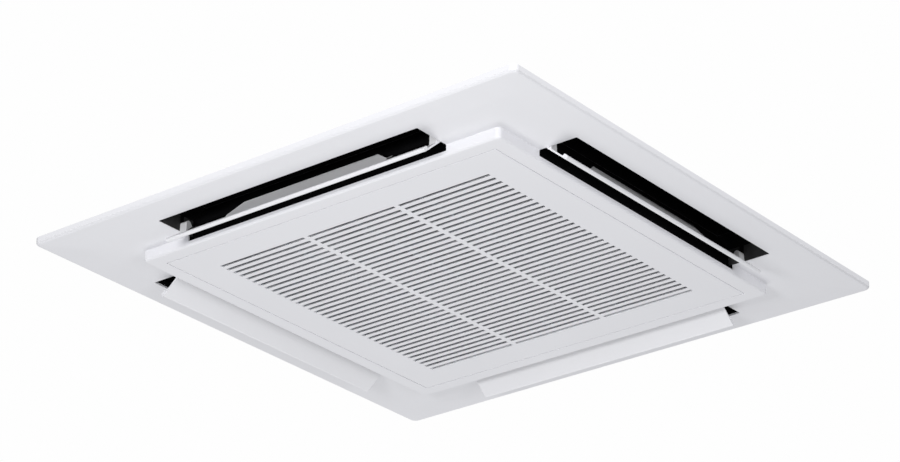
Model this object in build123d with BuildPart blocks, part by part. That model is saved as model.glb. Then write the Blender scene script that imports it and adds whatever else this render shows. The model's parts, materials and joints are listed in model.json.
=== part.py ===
from build123d import *
import os
from math import cos, radians, sin, sqrt

# Four-way ceiling cassette air conditioner, in millimetres.
# Heights are drawn from the ceiling's lower surface, +Z up into the ceiling void, with the panel below it.
# X and Y run square to the panel's sides. Each finished piece is handed over with its origin on the fan's axis
# at the height of the hangers' slots, where the ceiling's rods carry the unit.

# ---------------------------------------------------------------- driving dimensions
# decoration panel
panel_side = 950.0
panel_corner_radius = 10.0
rim_height = 8.0              # height of the panel's outer edge below the ceiling
rim_round = 7.0
rim_wall = 5.0
skin = 2.8                    # wall of the panel moulding
face_drop = 13.3              # ceiling to the flat band that holds the slots
slot_outer = 420.6            # centre line to the slot's outer edge, where the margin's slope starts
slot_half_length = 256.5
centre_half = 354.0           # raised centre square
centre_drop = 17.9            # slot band to the raised centre's face
centre_round = 4.0
centre_corner_radius = 8.0
slot_wall_top = 9.7           # slot band to the top of the raised centre's wall beside a slot

# intake grille
grille_border = 28.0          # raised centre's edge to the grille's seam
grille_gap = 1.2
grille_thickness = 3.0
grille_skirt_height = 12.0
grille_skirt = 3.0
slit_count = 36
slit_pitch = 15.12
slit_width = 7.0
slit_field_length = 535.8
bay_count = 3
rib_width = 6.0

# grille hinge and catches
hinge_inset = 45.0            # grille edge to the hinge axis
hinge_rise = 9.0              # grille face to the hinge axis
hinge_spacing = 360.0
hinge_pin_radius = 2.5
hinge_eye_radius = 4.8
hinge_neck_width = 12.0
hinge_ear = 4.0
catch_spacing = 400.0
catch_travel = 4.0
plunger_radius = 4.0

# vanes
vane_open = 40.5              # degrees, from closed to the position in which the part rests
vane_lip_gap = 1.2            # closed vane to the slot's outer edge
vane_end_gap = 1.0
vane_chord = 65.0
vane_plate = 2.6
vane_lip = 6.8                # height of the full-round lip
vane_lip_depth = 9.0
vane_fin_foot = 36.0           # lip to the foot of the guide fin
vane_fin_reach = 62.0
vane_fin_height = 12.0
vane_fin_sheet = 2.2
vane_fin_top_half = 133.0
vane_fin_base_half = 160.0
vane_fin_low = 0.2            # share of the fin's reach that is left at its ends
vane_fin_ribs = 90.0
vane_rib = 2.4
vane_ear = 14.0
vane_ear_rise = 1.7
pivot_from_lip = 50.0
pivot_height = 9.0            # vane's outer face to its pivot
pivot_pin_radius = 3.0
pivot_pin_length = 10.0
pivot_boss_radius = 5.0

# outlet liners
liner_wall = 3.0
liner_inner = 344.0
liner_straight_top = 16.0
liner_top = 34.0
duct_inner = 338.0
duct_outer = 398.0
duct_half_length = 236.0
seal_lip = 2.0
vane_motor_radius = 12.5
vane_motor_depth = 19.0
vane_motor_rise = 7.0         # output shaft to the middle of the motor

# cabinet
cabinet_side = 840.0
cabinet_chamfer = 140.0
cabinet_bottom = 38.0
cabinet_height = 246.0
sheet = 1.2
cabinet_flange = 10.0
wall_insulation = 12.0
top_insulation_depth = 4.0
hanger_x = 780.0
hanger_y = 680.0
hanger_height = 165.0
hanger_slot_length = 24.0
hanger_slot_width = 12.0
hanger_width = 80.0
hanger_reach = 46.0
hanger_leg = 60.0
hanger_plate = 2.5

# drain pan and bell mouth
pan_height = 50.0
pan_hole_radius = 258.0
pan_groove_depth = 24.0
sump_side = 102.0
sump_centre = 283.5
plug_radius = 8.0
plug_flange = 3.0
plug_place = (262.0, 300.0)
bell_plate = 2.5
bell_gap = 3.0                # plate's edge to the seals round the ducts
bell_mouth_radius = 250.0
bell_throat_radius = 205.0
bell_height = 44.0

# fan and motor
fan_radius = 235.0
fan_inlet_radius = 212.0
fan_blades = 7
fan_sheet = 3.0
fan_bottom = 74.0
fan_back = 236.0
blade_inner_radius = 168.0
blade_thickness = 5.0
shaft_radius = 6.0
motor_radius = 70.0
motor_bottom = 192.0
motor_height = 68.0

# heat exchanger
coil_inner = 275.0
coil_outer = 320.0
coil_bend_radius = 25.0       # inside of the coil's bent corners
coil_open_corner = 215.0      # the coil stops here on both sides of the pipe corner
coil_tube_radius = 4.0
coil_rows = 8
gas_pipe_radius = 7.94
liquid_pipe_radius = 4.76
pipe_reach = 48.0             # cabinet wall to the pipes' ends
pipe_free_end = 18.0
pipe_bead = 2.0
header_offset = 30.0          # coil's cut end to its headers
liquid_run = 29.5             # liquid header to the line of its pipe

# fits
running = 0.05                # radial, pins and shafts
clear = 0.3                   # between pieces that must not touch

# ---------------------------------------------------------------- heights and places that follow
face_z = -face_drop
centre_z = face_z - centre_drop
skin_back_z = face_z + skin
centre_back_z = centre_z + skin
slot_wall_top_z = face_z - slot_wall_top
grille_half = centre_half - grille_border
opening_half = grille_half + grille_gap
collar_inner = opening_half + 0.9
collar_outer = collar_inner + skin
grille_back_z = centre_z + grille_thickness
hinge_y = grille_half - hinge_inset
hinge_z = centre_z + hinge_rise
hinge_sweep = sqrt(hinge_inset**2 + hinge_rise**2)
hinge_beam_z = hinge_z + hinge_sweep + 2.0
collar_top = liner_top - 3.0
slot_height = hanger_height + hanger_plate / 2
lip_from_centre = slot_outer - vane_lip_gap
pivot_r = lip_from_centre - pivot_from_lip
pivot_z = face_z + pivot_height
cabinet_half = cabinet_side / 2
cabinet_top = cabinet_bottom + cabinet_height
shell_inside = cabinet_half - sheet
chamfer_line = 2 * cabinet_half - cabinet_chamfer
duct_middle = (duct_inner + duct_outer) / 2
pan_bottom = cabinet_bottom + sheet
pan_top = pan_bottom + pan_height
bell_bottom = pan_bottom - bell_plate
bell_half = duct_inner - seal_lip - bell_gap
tray_half = duct_inner - clear
coil_corner_radius = coil_bend_radius + coil_outer - coil_inner
coil_middle = (coil_inner + coil_outer) / 2
feeder_column = coil_middle - 12.0
liquid_column = feeder_column + 6.0
coil_bottom = pan_top - pan_groove_depth + clear
coil_top = cabinet_top - top_insulation_depth - clear
motor_top = motor_bottom + motor_height
slit_field_half = slit_field_length / 2
bay_length = (slit_field_length - (bay_count - 1) * rib_width) / bay_count
side_names = ["right", "rear", "left", "front"]

os.makedirs("parts", exist_ok=True)


# ---------------------------------------------------------------- helpers
def save(builder, name):
    """Name a finished piece and write it."""
    builder.part = builder.part.moved(Location((0, 0, -slot_height)))
    builder.part.label = name
    export_step(builder.part, f"parts/{name}.step")


def turned(x, y, side):
    """A point of the +X side, turned to side 0 to 3 (+X, +Y, -X, -Y)."""
    a = radians(90 * side)
    return (x * cos(a) - y * sin(a), x * sin(a) + y * cos(a))


def side_plane(side, along=0.0):
    """Section plane of one side: its X is the distance from the centre line, its Y is the height."""
    ox, oy = turned(0, along, side)
    rx, ry = turned(1, 0, side)
    nx, ny = turned(0, -1, side)
    return Plane(origin=(ox, oy, 0), x_dir=(rx, ry, 0), z_dir=(nx, ny, 0))


def octagon(inset, mode=Mode.ADD):
    """Outline of the cabinet, inset by a wall."""
    half = cabinet_half - inset
    cut = chamfer_line - inset * sqrt(2) - half
    points = []
    for side in range(4):
        points += [turned(half, -cut, side), turned(half, cut, side)]
    Polygon(*points, align=None, mode=mode)


def square_ring(inner, outer, low, high):
    """A square wall that stands between two heights, with its inner and outer half-widths."""
    with BuildSketch(Plane.XY.offset(low)) as ring:
        Rectangle(2 * outer, 2 * outer)
        Rectangle(2 * inner, 2 * inner, mode=Mode.SUBTRACT)
    extrude(ring.sketch, amount=high - low)


def channel(side, inner, outer, half_length, height):
    """Plan outline of one side's air channel at a height."""
    with BuildSketch(Plane.XY.offset(height)) as outline:
        with Locations(turned((inner + outer) / 2, 0, side)):
            Rectangle(outer - inner, 2 * half_length, rotation=90 * side)
    return outline.sketch


# ---------------------------------------------------------------- decoration panel
with BuildPart() as panel_frame:
    with BuildSketch(Plane.XY.offset(-rim_height)):
        RectangleRounded(panel_side, panel_side, panel_corner_radius)
    extrude(amount=rim_height)
    with BuildSketch(Plane.XY.offset(-rim_height)):
        RectangleRounded(panel_side, panel_side, panel_corner_radius)
    with BuildSketch(Plane.XY.offset(face_z)):
        RectangleRounded(2 * slot_outer, 2 * slot_outer, panel_corner_radius)
    loft()
    fillet(panel_frame.edges().filter_by_position(Axis.Z, -rim_height - 0.01, 0.01 - rim_height), radius=rim_round)
    with BuildSketch(Plane.XY.offset(face_z)):
        RectangleRounded(2 * centre_half, 2 * centre_half, centre_corner_radius)
    extrude(amount=-centre_drop)
    fillet(panel_frame.edges().group_by(Axis.Z)[0], radius=centre_round)
    # the moulding is hollow behind: rim, sloped margin, slot band and raised centre
    inner_rim = panel_side / 2 - rim_wall
    with BuildSketch(Plane.XY.offset(skin - rim_height)):
        Rectangle(2 * inner_rim, 2 * inner_rim)
    extrude(amount=rim_height, mode=Mode.SUBTRACT)
    with BuildSketch(Plane.XY.offset(skin - rim_height)):
        Rectangle(2 * inner_rim, 2 * inner_rim)
    with BuildSketch(Plane.XY.offset(skin_back_z)):
        Rectangle(2 * slot_outer, 2 * slot_outer)
    loft(mode=Mode.SUBTRACT)
    with BuildSketch(Plane.XY.offset(centre_back_z)):
        RectangleRounded(2 * (centre_half - skin), 2 * (centre_half - skin), centre_corner_radius - skin)
    extrude(amount=centre_drop, mode=Mode.SUBTRACT)
    # the air slots take the upper part of the raised centre's wall with them
    slot_middle = (liner_inner + slot_outer) / 2
    with BuildSketch(Plane.XY.offset(slot_wall_top_z)):
        with PolarLocations(slot_middle, 4):
            Rectangle(slot_outer - liner_inner, 2 * slot_half_length)
    extrude(amount=slot_wall_top + 3 * skin, mode=Mode.SUBTRACT)
    # intake opening with its collar, and a shelf in each corner for the fixing screws
    with BuildSketch(Plane.XY.offset(centre_z)):
        Rectangle(2 * opening_half, 2 * opening_half)
    extrude(amount=2 * skin, mode=Mode.SUBTRACT)
    square_ring(collar_inner, collar_outer, centre_back_z, collar_top)
    shelf = 34.0
    shelf_thickness = 3.0
    panel_screw_at = collar_inner - 18.0
    panel_screw_radius = 3.0
    with BuildSketch(Plane.XY.offset(collar_top - shelf_thickness)):
        with GridLocations(2 * collar_inner - shelf, 2 * collar_inner - shelf, 2, 2):
            Rectangle(shelf, shelf)
        with GridLocations(2 * panel_screw_at, 2 * panel_screw_at, 2, 2):
            Circle(panel_screw_radius + clear, mode=Mode.SUBTRACT)
    extrude(amount=shelf_thickness)
save(panel_frame, "panel_frame")

with BuildPart() as outlet_liners:
    liner_bottom = skin_back_z + 0.7
    in_wall = liner_inner - liner_wall
    out_wall = slot_outer + liner_wall
    end_wall = slot_half_length + liner_wall
    duct_end = duct_half_length + liner_wall
    behind_wall = centre_half - skin - clear
    for side in range(4):
        # straight lower part, which holds the vane's bearings, with its inner wall behind the raised centre's
        extrude(channel(side, in_wall, out_wall, end_wall, liner_bottom), amount=liner_straight_top - liner_bottom)
        extrude(channel(side, in_wall, behind_wall, end_wall, centre_back_z), amount=liner_bottom - centre_back_z)
        # transition to the duct in the drain pan
        loft(
            [
                channel(side, in_wall, out_wall, end_wall, liner_straight_top),
                channel(side, duct_inner - liner_wall, duct_outer + liner_wall, duct_end, liner_top),
            ]
        )
        extrude(
            channel(side, liner_inner, slot_outer, slot_half_length, centre_back_z),
            amount=liner_straight_top - centre_back_z,
            mode=Mode.SUBTRACT,
        )
        loft(
            [
                channel(side, liner_inner, slot_outer, slot_half_length, liner_straight_top),
                channel(side, duct_inner, duct_outer, duct_half_length, liner_top),
            ],
            mode=Mode.SUBTRACT,
        )
        # bearing holes for the vane's pivot pins
        with BuildSketch(side_plane(side)):
            with Locations((pivot_r, pivot_z)):
                Circle(pivot_pin_radius + running)
        extrude(amount=end_wall + 1, both=True, mode=Mode.SUBTRACT)
save(outlet_liners, "outlet_liners")

with BuildPart() as duct_seals:
    with BuildSketch(Plane.XY.offset(liner_top)):
        with PolarLocations(duct_middle, 4):
            Rectangle(duct_outer - duct_inner + 2 * seal_lip, 2 * (duct_half_length + seal_lip))
            Rectangle(duct_outer - duct_inner, 2 * duct_half_length, mode=Mode.SUBTRACT)
    extrude(amount=pan_bottom - liner_top)
save(duct_seals, "duct_seals")

with BuildPart() as throat_seal:
    square_ring(collar_inner, collar_outer, collar_top, bell_bottom)
save(throat_seal, "throat_seal")

# ---------------------------------------------------------------- vanes and their motors
vane_half = slot_half_length - vane_end_gap


def vane_point(inward, up):
    """A point of the vane's section, measured from its lip when closed, turned to the open position."""
    dx = lip_from_centre - inward - pivot_r
    dz = face_z + up - pivot_z
    a = radians(vane_open)
    return (pivot_r + dx * cos(a) + dz * sin(a), pivot_z - dx * sin(a) + dz * cos(a))


def fin_section(share):
    """Section of the guide fin, with a share of its full reach from its foot on the plate."""
    run, rise = vane_fin_reach - vane_fin_foot, vane_fin_height - vane_plate
    length = sqrt(run**2 + rise**2)
    tip = (vane_fin_foot + share * run, vane_plate + share * rise)
    back = (tip[0] + vane_fin_sheet * rise / length, tip[1] - vane_fin_sheet * run / length)
    sunk = vane_plate - 1.0
    return [vane_point(*p) for p in ((vane_fin_foot - 1.0, sunk), (vane_fin_foot, vane_plate), tip, back, (vane_fin_foot + 3.0, sunk))]


for side, side_name in enumerate(side_names):
    with BuildPart() as vane:
        # outer plate with its thick, full-round lip
        lip_round = vane_lip / 2
        tail_taper = 1.5
        with BuildSketch(side_plane(side)):
            with BuildLine():
                ThreePointArc(vane_point(lip_round, 0), vane_point(0, lip_round), vane_point(lip_round, vane_lip))
                Polyline(
                    vane_point(lip_round, vane_lip),
                    vane_point(vane_lip_depth, vane_lip),
                    vane_point(vane_lip_depth + 2.0, vane_plate),
                    vane_point(vane_chord - tail_taper, vane_plate),
                    vane_point(vane_chord, vane_plate / 2),
                    vane_point(vane_chord - tail_taper, 0),
                    vane_point(lip_round, 0),
                )
            make_face()
        extrude(amount=vane_half, both=True)
        # guide fin that rises from the plate's inner part over the middle of the vane, with slanted ends
        for end in (-1, 1):
            with BuildSketch(side_plane(side, end * vane_fin_top_half)) as tall_end:
                Polygon(*fin_section(1.0), align=None)
            with BuildSketch(side_plane(side, end * vane_fin_base_half)) as low_end:
                Polygon(*fin_section(vane_fin_low), align=None)
            loft([tall_end.sketch, low_end.sketch])
        with BuildSketch(side_plane(side)) as fin_middle:
            Polygon(*fin_section(1.0), align=None)
        extrude(fin_middle.sketch, amount=vane_fin_top_half, both=True)
        # ribs that carry the fin on the plate
        rib_low = vane_plate - 0.2
        for along in (-vane_fin_ribs, 0, vane_fin_ribs):
            with BuildSketch(side_plane(side, along)):
                Polygon(
                    vane_point(vane_fin_foot + 2.0, rib_low),
                    vane_point(vane_fin_foot + 2.0, vane_plate + 0.3),
                    vane_point(vane_fin_reach - 1.5, vane_fin_height - 1.6),
                    vane_point(vane_fin_reach - 1.5, rib_low),
                    align=None,
                )
            extrude(amount=vane_rib / 2, both=True)
        # ears that rise from the plate round the pivot at each end, and the pivot's pins
        ear_out = vane_point(pivot_from_lip - vane_ear, vane_plate / 2)
        ear_in = vane_point(pivot_from_lip + pivot_boss_radius, vane_plate / 2)
        pivot = (pivot_r, pivot_z)
        ear_top = (pivot_r, pivot_z + vane_ear_rise)
        for end in (-1, 1):
            with BuildSketch(side_plane(side, end * vane_half)):
                with Locations(pivot, ear_top):
                    Circle(pivot_boss_radius)
                make_hull()
                Polygon(ear_out, ear_top, pivot, align=None)
                Polygon(ear_out, pivot, ear_in, align=None)
            extrude(amount=end * vane_ear)
            with BuildSketch(side_plane(side, end * vane_half)):
                with Locations(pivot):
                    Circle(pivot_pin_radius)
            extrude(amount=-end * pivot_pin_length)
    save(vane, f"vane_{side_name}")

liner_end = slot_half_length + liner_wall
motor_ear_spacing = 35.0
motor_ear_plate = 1.5
motor_ear_half = 21.0
motor_screw_radius = 1.9
motor_screw_head = 2.0
motor_centre = (pivot_r, pivot_z + vane_motor_rise)
with BuildPart() as vane_motors:
    for side in range(4):
        with BuildSketch(side_plane(side, liner_end)):
            with Locations(motor_centre):
                Circle(vane_motor_radius)
        extrude(amount=-vane_motor_depth)
        with BuildSketch(side_plane(side, liner_end)):
            with Locations(motor_centre):
                SlotOverall(2 * motor_ear_half, 8.0)
                with GridLocations(motor_ear_spacing, 1, 2, 1):
                    Circle(motor_screw_radius + clear, mode=Mode.SUBTRACT)
        extrude(amount=-motor_ear_plate)
        with BuildSketch(side_plane(side, liner_end)):
            with Locations((pivot_r, pivot_z)):
                Circle(pivot_pin_radius + running)
        extrude(amount=-pivot_pin_length, mode=Mode.SUBTRACT)
save(vane_motors, "vane_motors")

with BuildPart() as vane_motor_screws:
    for side in range(4):
        for radius, depth in ((2 * motor_screw_radius, -motor_screw_head), (motor_screw_radius, motor_ear_plate)):
            with BuildSketch(side_plane(side, liner_end + motor_ear_plate)):
                with Locations(motor_centre):
                    with GridLocations(motor_ear_spacing, 1, 2, 1):
                        Circle(radius)
            extrude(amount=depth)
save(vane_motor_screws, "vane_motor_screws")

# ---------------------------------------------------------------- intake grille, filter, hinge and catches
hinge_places = [(-hinge_spacing / 2, hinge_y), (hinge_spacing / 2, hinge_y)]
hinge_notch = hinge_neck_width + 2 * hinge_ear + 6.0
with BuildPart() as intake_grille:
    with BuildSketch(Plane.XY.offset(centre_z)):
        RectangleRounded(2 * grille_half, 2 * grille_half, 1.5)
        with GridLocations(slit_pitch, bay_length + rib_width, slit_count, bay_count):
            Rectangle(slit_width, bay_length, mode=Mode.SUBTRACT)
    extrude(amount=grille_thickness)
    with BuildSketch(Plane.XY.offset(grille_back_z)):
        Rectangle(2 * grille_half - 1.0, 2 * grille_half - 1.0)
        inside = grille_half - 0.5 - grille_skirt
        Rectangle(2 * inside, 2 * inside, mode=Mode.SUBTRACT)
        with GridLocations(hinge_spacing, 1, 2, 1):
            with Locations((0, grille_half)):
                Rectangle(hinge_notch, 12 * grille_skirt, mode=Mode.SUBTRACT)
    extrude(amount=grille_skirt_height - grille_thickness)
    # ears either side of each hinge bracket
    ear_offset = hinge_neck_width / 2 + clear
    for x, y in hinge_places:
        for start, direction in ((x + ear_offset, 1), (x - ear_offset, -1)):
            with BuildSketch(Plane(origin=(start, 0, 0), x_dir=(0, 1, 0), z_dir=(1, 0, 0))):
                with Locations((y, hinge_z)):
                    Circle(hinge_eye_radius)
                with Locations((y, (hinge_z + grille_back_z) / 2)):
                    Rectangle(2 * hinge_eye_radius, hinge_z - grille_back_z)
                with Locations((y, hinge_z)):
                    Circle(hinge_pin_radius + running, mode=Mode.SUBTRACT)
            extrude(amount=direction * hinge_ear)
save(intake_grille, "intake_grille")

with BuildPart() as hinge_brackets:
    neck_inner = hinge_y - hinge_eye_radius
    beam = 5.0
    for x, y in hinge_places:
        with BuildSketch(Plane(origin=(x, 0, 0), x_dir=(0, 1, 0), z_dir=(1, 0, 0))):
            with Locations((y, hinge_z)):
                Circle(hinge_eye_radius)
            with BuildLine():
                Polyline(
                    (neck_inner, hinge_z),
                    (neck_inner, hinge_beam_z + beam),
                    (collar_inner, hinge_beam_z + beam),
                    (collar_inner, hinge_beam_z),
                    (y + 3.5, hinge_beam_z),
                    (y + 3.5, hinge_z),
                    close=True,
                )
            make_face()
            with Locations((y, hinge_z)):
                Circle(hinge_pin_radius + running, mode=Mode.SUBTRACT)
        extrude(amount=hinge_neck_width / 2, both=True)
save(hinge_brackets, "hinge_brackets")

with BuildPart() as hinge_pins:
    pin_half = hinge_neck_width / 2 + clear + hinge_ear
    for x, y in hinge_places:
        with BuildSketch(Plane(origin=(x - pin_half, 0, 0), x_dir=(0, 1, 0), z_dir=(1, 0, 0))):
            with Locations((y, hinge_z)):
                Circle(hinge_pin_radius)
        extrude(amount=2 * pin_half)
        with BuildSketch(Plane(origin=(x + pin_half, 0, 0), x_dir=(0, 1, 0), z_dir=(1, 0, 0))):
            with Locations((y, hinge_z)):
                Circle(hinge_pin_radius + 1.5)
        extrude(amount=1.5)
save(hinge_pins, "hinge_pins")

filter_half_x = slit_pitch * (slit_count - 1) / 2 + 12.0
filter_half_y = slit_field_half + 5.0
filter_depth = 8.0
filter_rail = 6.0
mesh_depth = 1.2
filter_z = grille_back_z
with BuildPart() as filter_frame:
    with BuildSketch(Plane.XY.offset(filter_z)):
        Rectangle(2 * filter_half_x, 2 * filter_half_y)
        inner_x = (2 * filter_half_x - 5 * filter_rail) / 4
        inner_y = (2 * filter_half_y - 5 * filter_rail) / 4
        with GridLocations(inner_x + filter_rail, inner_y + filter_rail, 4, 4):
            Rectangle(inner_x, inner_y, mode=Mode.SUBTRACT)
    extrude(amount=filter_depth - mesh_depth)
save(filter_frame, "filter_frame")

net_count = 17
net_strand = 1.6
net_margin = 2.0
net_x = 2 * (filter_half_x - net_margin)
net_y = 2 * (filter_half_y - net_margin)
net_pitch_x = (net_x - net_strand) / net_count
net_pitch_y = (net_y - net_strand) / net_count
with BuildPart() as filter_mesh:
    with BuildSketch(Plane.XY.offset(filter_z + filter_depth - mesh_depth)):
        Rectangle(net_x, net_y)
        with GridLocations(net_pitch_x, net_pitch_y, net_count, net_count):
            Rectangle(net_pitch_x - net_strand, net_pitch_y - net_strand, mode=Mode.SUBTRACT)
    extrude(amount=mesh_depth)
save(filter_mesh, "filter_mesh")

catch_width = 24.0
catch_depth = 17.0
catch_bottom = grille_back_z + grille_skirt_height + 2.0
catch_height = 26.0
catch_y = -(collar_inner - catch_depth / 2 - 2.0)
plunger_bottom = grille_back_z + clear
plunger_top = catch_bottom + catch_height - catch_travel - 4.0
with BuildPart() as catch_housings:
    with BuildSketch(Plane.XY.offset(catch_bottom)):
        with GridLocations(catch_spacing, 1, 2, 1):
            with Locations((0, -(collar_inner - catch_depth / 2))):
                Rectangle(catch_width, catch_depth)
    extrude(amount=catch_height)
    with BuildSketch(Plane.XY.offset(catch_bottom)):
        with GridLocations(catch_spacing, 1, 2, 1):
            with Locations((0, catch_y)):
                Circle(plunger_radius + running)
    extrude(amount=catch_height - 2.0, mode=Mode.SUBTRACT)
save(catch_housings, "catch_housings")

for catch_name, sign in (("left", -1), ("right", 1)):
    with BuildPart() as plunger:
        with BuildSketch(Plane.XY.offset(plunger_bottom)):
            with Locations((sign * catch_spacing / 2, catch_y)):
                Circle(plunger_radius)
        extrude(amount=plunger_top - plunger_bottom)
        fillet(plunger.edges().group_by(Axis.Z)[0], radius=1.0)
    save(plunger, f"catch_plunger_{catch_name}")

panel_screw_head = 4.0
panel_screw_grip = 14.0       # length inside the drain pan
with BuildPart() as panel_screws:
    with BuildSketch(Plane.XY.offset(collar_top - shelf_thickness - panel_screw_head)):
        with GridLocations(2 * panel_screw_at, 2 * panel_screw_at, 2, 2):
            RegularPolygon(6.0, 6)
    extrude(amount=panel_screw_head)
    with BuildSketch(Plane.XY.offset(collar_top - shelf_thickness)):
        with GridLocations(2 * panel_screw_at, 2 * panel_screw_at, 2, 2):
            Circle(panel_screw_radius)
    extrude(amount=pan_bottom + panel_screw_grip - collar_top + shelf_thickness)
save(panel_screws, "panel_screws")

# ---------------------------------------------------------------- cabinet
gas_y, gas_z = coil_open_corner + header_offset, 150.0
liquid_y, liquid_z = liquid_column - liquid_run, 112.0
drain_x, drain_z = 264.0, 215.0
drain_port_radius = 13.0
cover_low = (gas_y - 17.0, liquid_z - 20.0)
cover_high = (liquid_y + 16.0, gas_z + 22.0)
cover_margin = 5.0
gland_y, gland_z = -210.0, 245.0
gland_radius = 14.0
cover_y = (cover_low[0] + cover_high[0]) / 2
cover_z = (cover_low[1] + cover_high[1]) / 2
cover_width = cover_high[0] - cover_low[0]
cover_height = cover_high[1] - cover_low[1]
wall_x = Plane(origin=(cabinet_half, 0, 0), x_dir=(0, 1, 0), z_dir=(1, 0, 0))
wall_y = Plane(origin=(0, cabinet_half, 0), x_dir=(-1, 0, 0), z_dir=(0, 1, 0))
wall_cut = 3 * wall_insulation

# casing of four folded sheets, each a side wall and the cut corner that follows it
for side, side_name in enumerate(side_names):
    with BuildPart() as cabinet_side:
        with BuildSketch(Plane.XY.offset(cabinet_bottom)):
            octagon(0)
        extrude(amount=cabinet_height)
        with BuildSketch(Plane.XY.offset(cabinet_bottom + sheet)):
            octagon(sheet)
        extrude(amount=cabinet_height, mode=Mode.SUBTRACT)
        with BuildSketch(Plane.XY.offset(cabinet_bottom)):
            octagon(sheet + cabinet_flange)
        extrude(amount=sheet, mode=Mode.SUBTRACT)
        corner = chamfer_line - cabinet_half
        with BuildSketch(Plane.XY.offset(cabinet_bottom)):
            seams = [turned(2 * cabinet_half, y, side) for y in (-2 * corner, 2 * corner)]
            Polygon((0, 0), *seams, turned(2 * corner, 2 * cabinet_half, side), align=None)
        extrude(amount=cabinet_height, mode=Mode.INTERSECT)
        if side_name == "right":
            with BuildSketch(wall_x):
                with Locations((cover_y, cover_z)):
                    Rectangle(cover_width - 2 * cover_margin, cover_height - 2 * cover_margin)
                with Locations((gland_y, gland_z)):
                    Circle(gland_radius)
            extrude(amount=-wall_cut, mode=Mode.SUBTRACT)
        if side_name == "rear":
            with BuildSketch(wall_y):
                with Locations((-drain_x, drain_z)):
                    Circle(drain_port_radius + clear)
            extrude(amount=-wall_cut, mode=Mode.SUBTRACT)
    save(cabinet_side, f"cabinet_side_{side_name}")

with BuildPart() as wall_lining:
    with BuildSketch(Plane.XY.offset(pan_top + clear)):
        octagon(sheet + clear)
        octagon(sheet + clear + wall_insulation, mode=Mode.SUBTRACT)
    extrude(amount=cabinet_top - top_insulation_depth - clear - pan_top - clear)
    with BuildSketch(wall_x):
        with Locations((cover_y, cover_z)):
            Rectangle(cover_width - 2 * cover_margin, cover_height - 2 * cover_margin)
        with Locations((gland_y, gland_z)):
            Circle(gland_radius)
    extrude(amount=-wall_cut, mode=Mode.SUBTRACT)
    with BuildSketch(wall_y):
        with Locations((-drain_x, drain_z)):
            Circle(drain_port_radius + clear)
    extrude(amount=-wall_cut, mode=Mode.SUBTRACT)
save(wall_lining, "wall_insulation")

top_bead_height = 4.0
top_screw_radius = 2.0
top_screw_inset = 14.0
bead_ring = (128.0, 150.0)    # inner and outer radius of the bead over the motor
bead_taper = 20.0
long_bead = (170.0, 22.0)     # length and width
long_bead_at = 268.0
long_bead_spread = 110.0
top_screw_spacing = 360.0
with BuildPart() as top_plate:
    with BuildSketch(Plane.XY.offset(cabinet_top)):
        octagon(0)
    extrude(amount=sheet)
    # stiffening beads: a ring over the motor and long ribs towards the corners
    with BuildSketch(Plane.XY.offset(cabinet_top + sheet)):
        Circle(bead_ring[1])
        Circle(bead_ring[0], mode=Mode.SUBTRACT)
    extrude(amount=top_bead_height, taper=bead_taper)
    with BuildSketch(Plane.XY.offset(cabinet_top + sheet)):
        for angle in (0, 90, 180, 270):
            for spread in (-long_bead_spread, 0, long_bead_spread):
                with Locations(Rotation(0, 0, angle) * Location((long_bead_at, spread, 0))):
                    SlotOverall(*long_bead)
    extrude(amount=top_bead_height, taper=bead_taper)
    with BuildSketch(Plane.XY.offset(cabinet_top + sheet)):
        with PolarLocations(cabinet_half - top_screw_inset, 4):
            with GridLocations(1, top_screw_spacing, 1, 2):
                Circle(top_screw_radius + 0.2)
    extrude(amount=-sheet, mode=Mode.SUBTRACT)
save(top_plate, "top_plate")

with BuildPart() as top_screws:
    with BuildSketch(Plane.XY.offset(cabinet_top + sheet)):
        with PolarLocations(cabinet_half - top_screw_inset, 4):
            with GridLocations(1, top_screw_spacing, 1, 2):
                RegularPolygon(4.5, 6)
    extrude(amount=3)
    with BuildSketch(Plane.XY.offset(cabinet_top)):
        with PolarLocations(cabinet_half - top_screw_inset, 4):
            with GridLocations(1, top_screw_spacing, 1, 2):
                Circle(top_screw_radius)
    extrude(amount=sheet)
save(top_screws, "top_screws")

motor_hole_radius = 100.0
with BuildPart() as top_liner:
    with BuildSketch(Plane.XY.offset(cabinet_top - top_insulation_depth)):
        octagon(sheet + clear)
        Circle(motor_hole_radius, mode=Mode.SUBTRACT)
    extrude(amount=top_insulation_depth)
save(top_liner, "top_insulation")


# hangers on the four cut corners; the slots lie on the ceiling rods' pitch
def corner_frame(sx, sy):
    """Middle of a cut corner, with unit vectors along it and out of it."""
    mid = (sx * chamfer_line / 2, sy * chamfer_line / 2)
    along = (sx / sqrt(2), -sy / sqrt(2))
    out = (sx / sqrt(2), sy / sqrt(2))
    return mid, along, out


hanger_shift = (hanger_x / 2 - hanger_y / 2) / sqrt(2)
hanger_out = (hanger_x / 2 + hanger_y / 2 - chamfer_line) / sqrt(2)
hanger_screw_radius = 3.0
hanger_screw_drop = 40.0
hanger_screw_half = 20.0
hanger_gusset = 18.0
hanger_gusset_reach = 0.75 * hanger_reach


def hanger_rectangle(sx, sy, width, near, far):
    mid, along, out = corner_frame(sx, sy)
    points = []
    for u, v in ((-width / 2, near), (width / 2, near), (width / 2, far), (-width / 2, far)):
        points.append(tuple(mid[k] + (hanger_shift + u) * along[k] + v * out[k] for k in range(2)))
    Polygon(*points, align=None)


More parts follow.
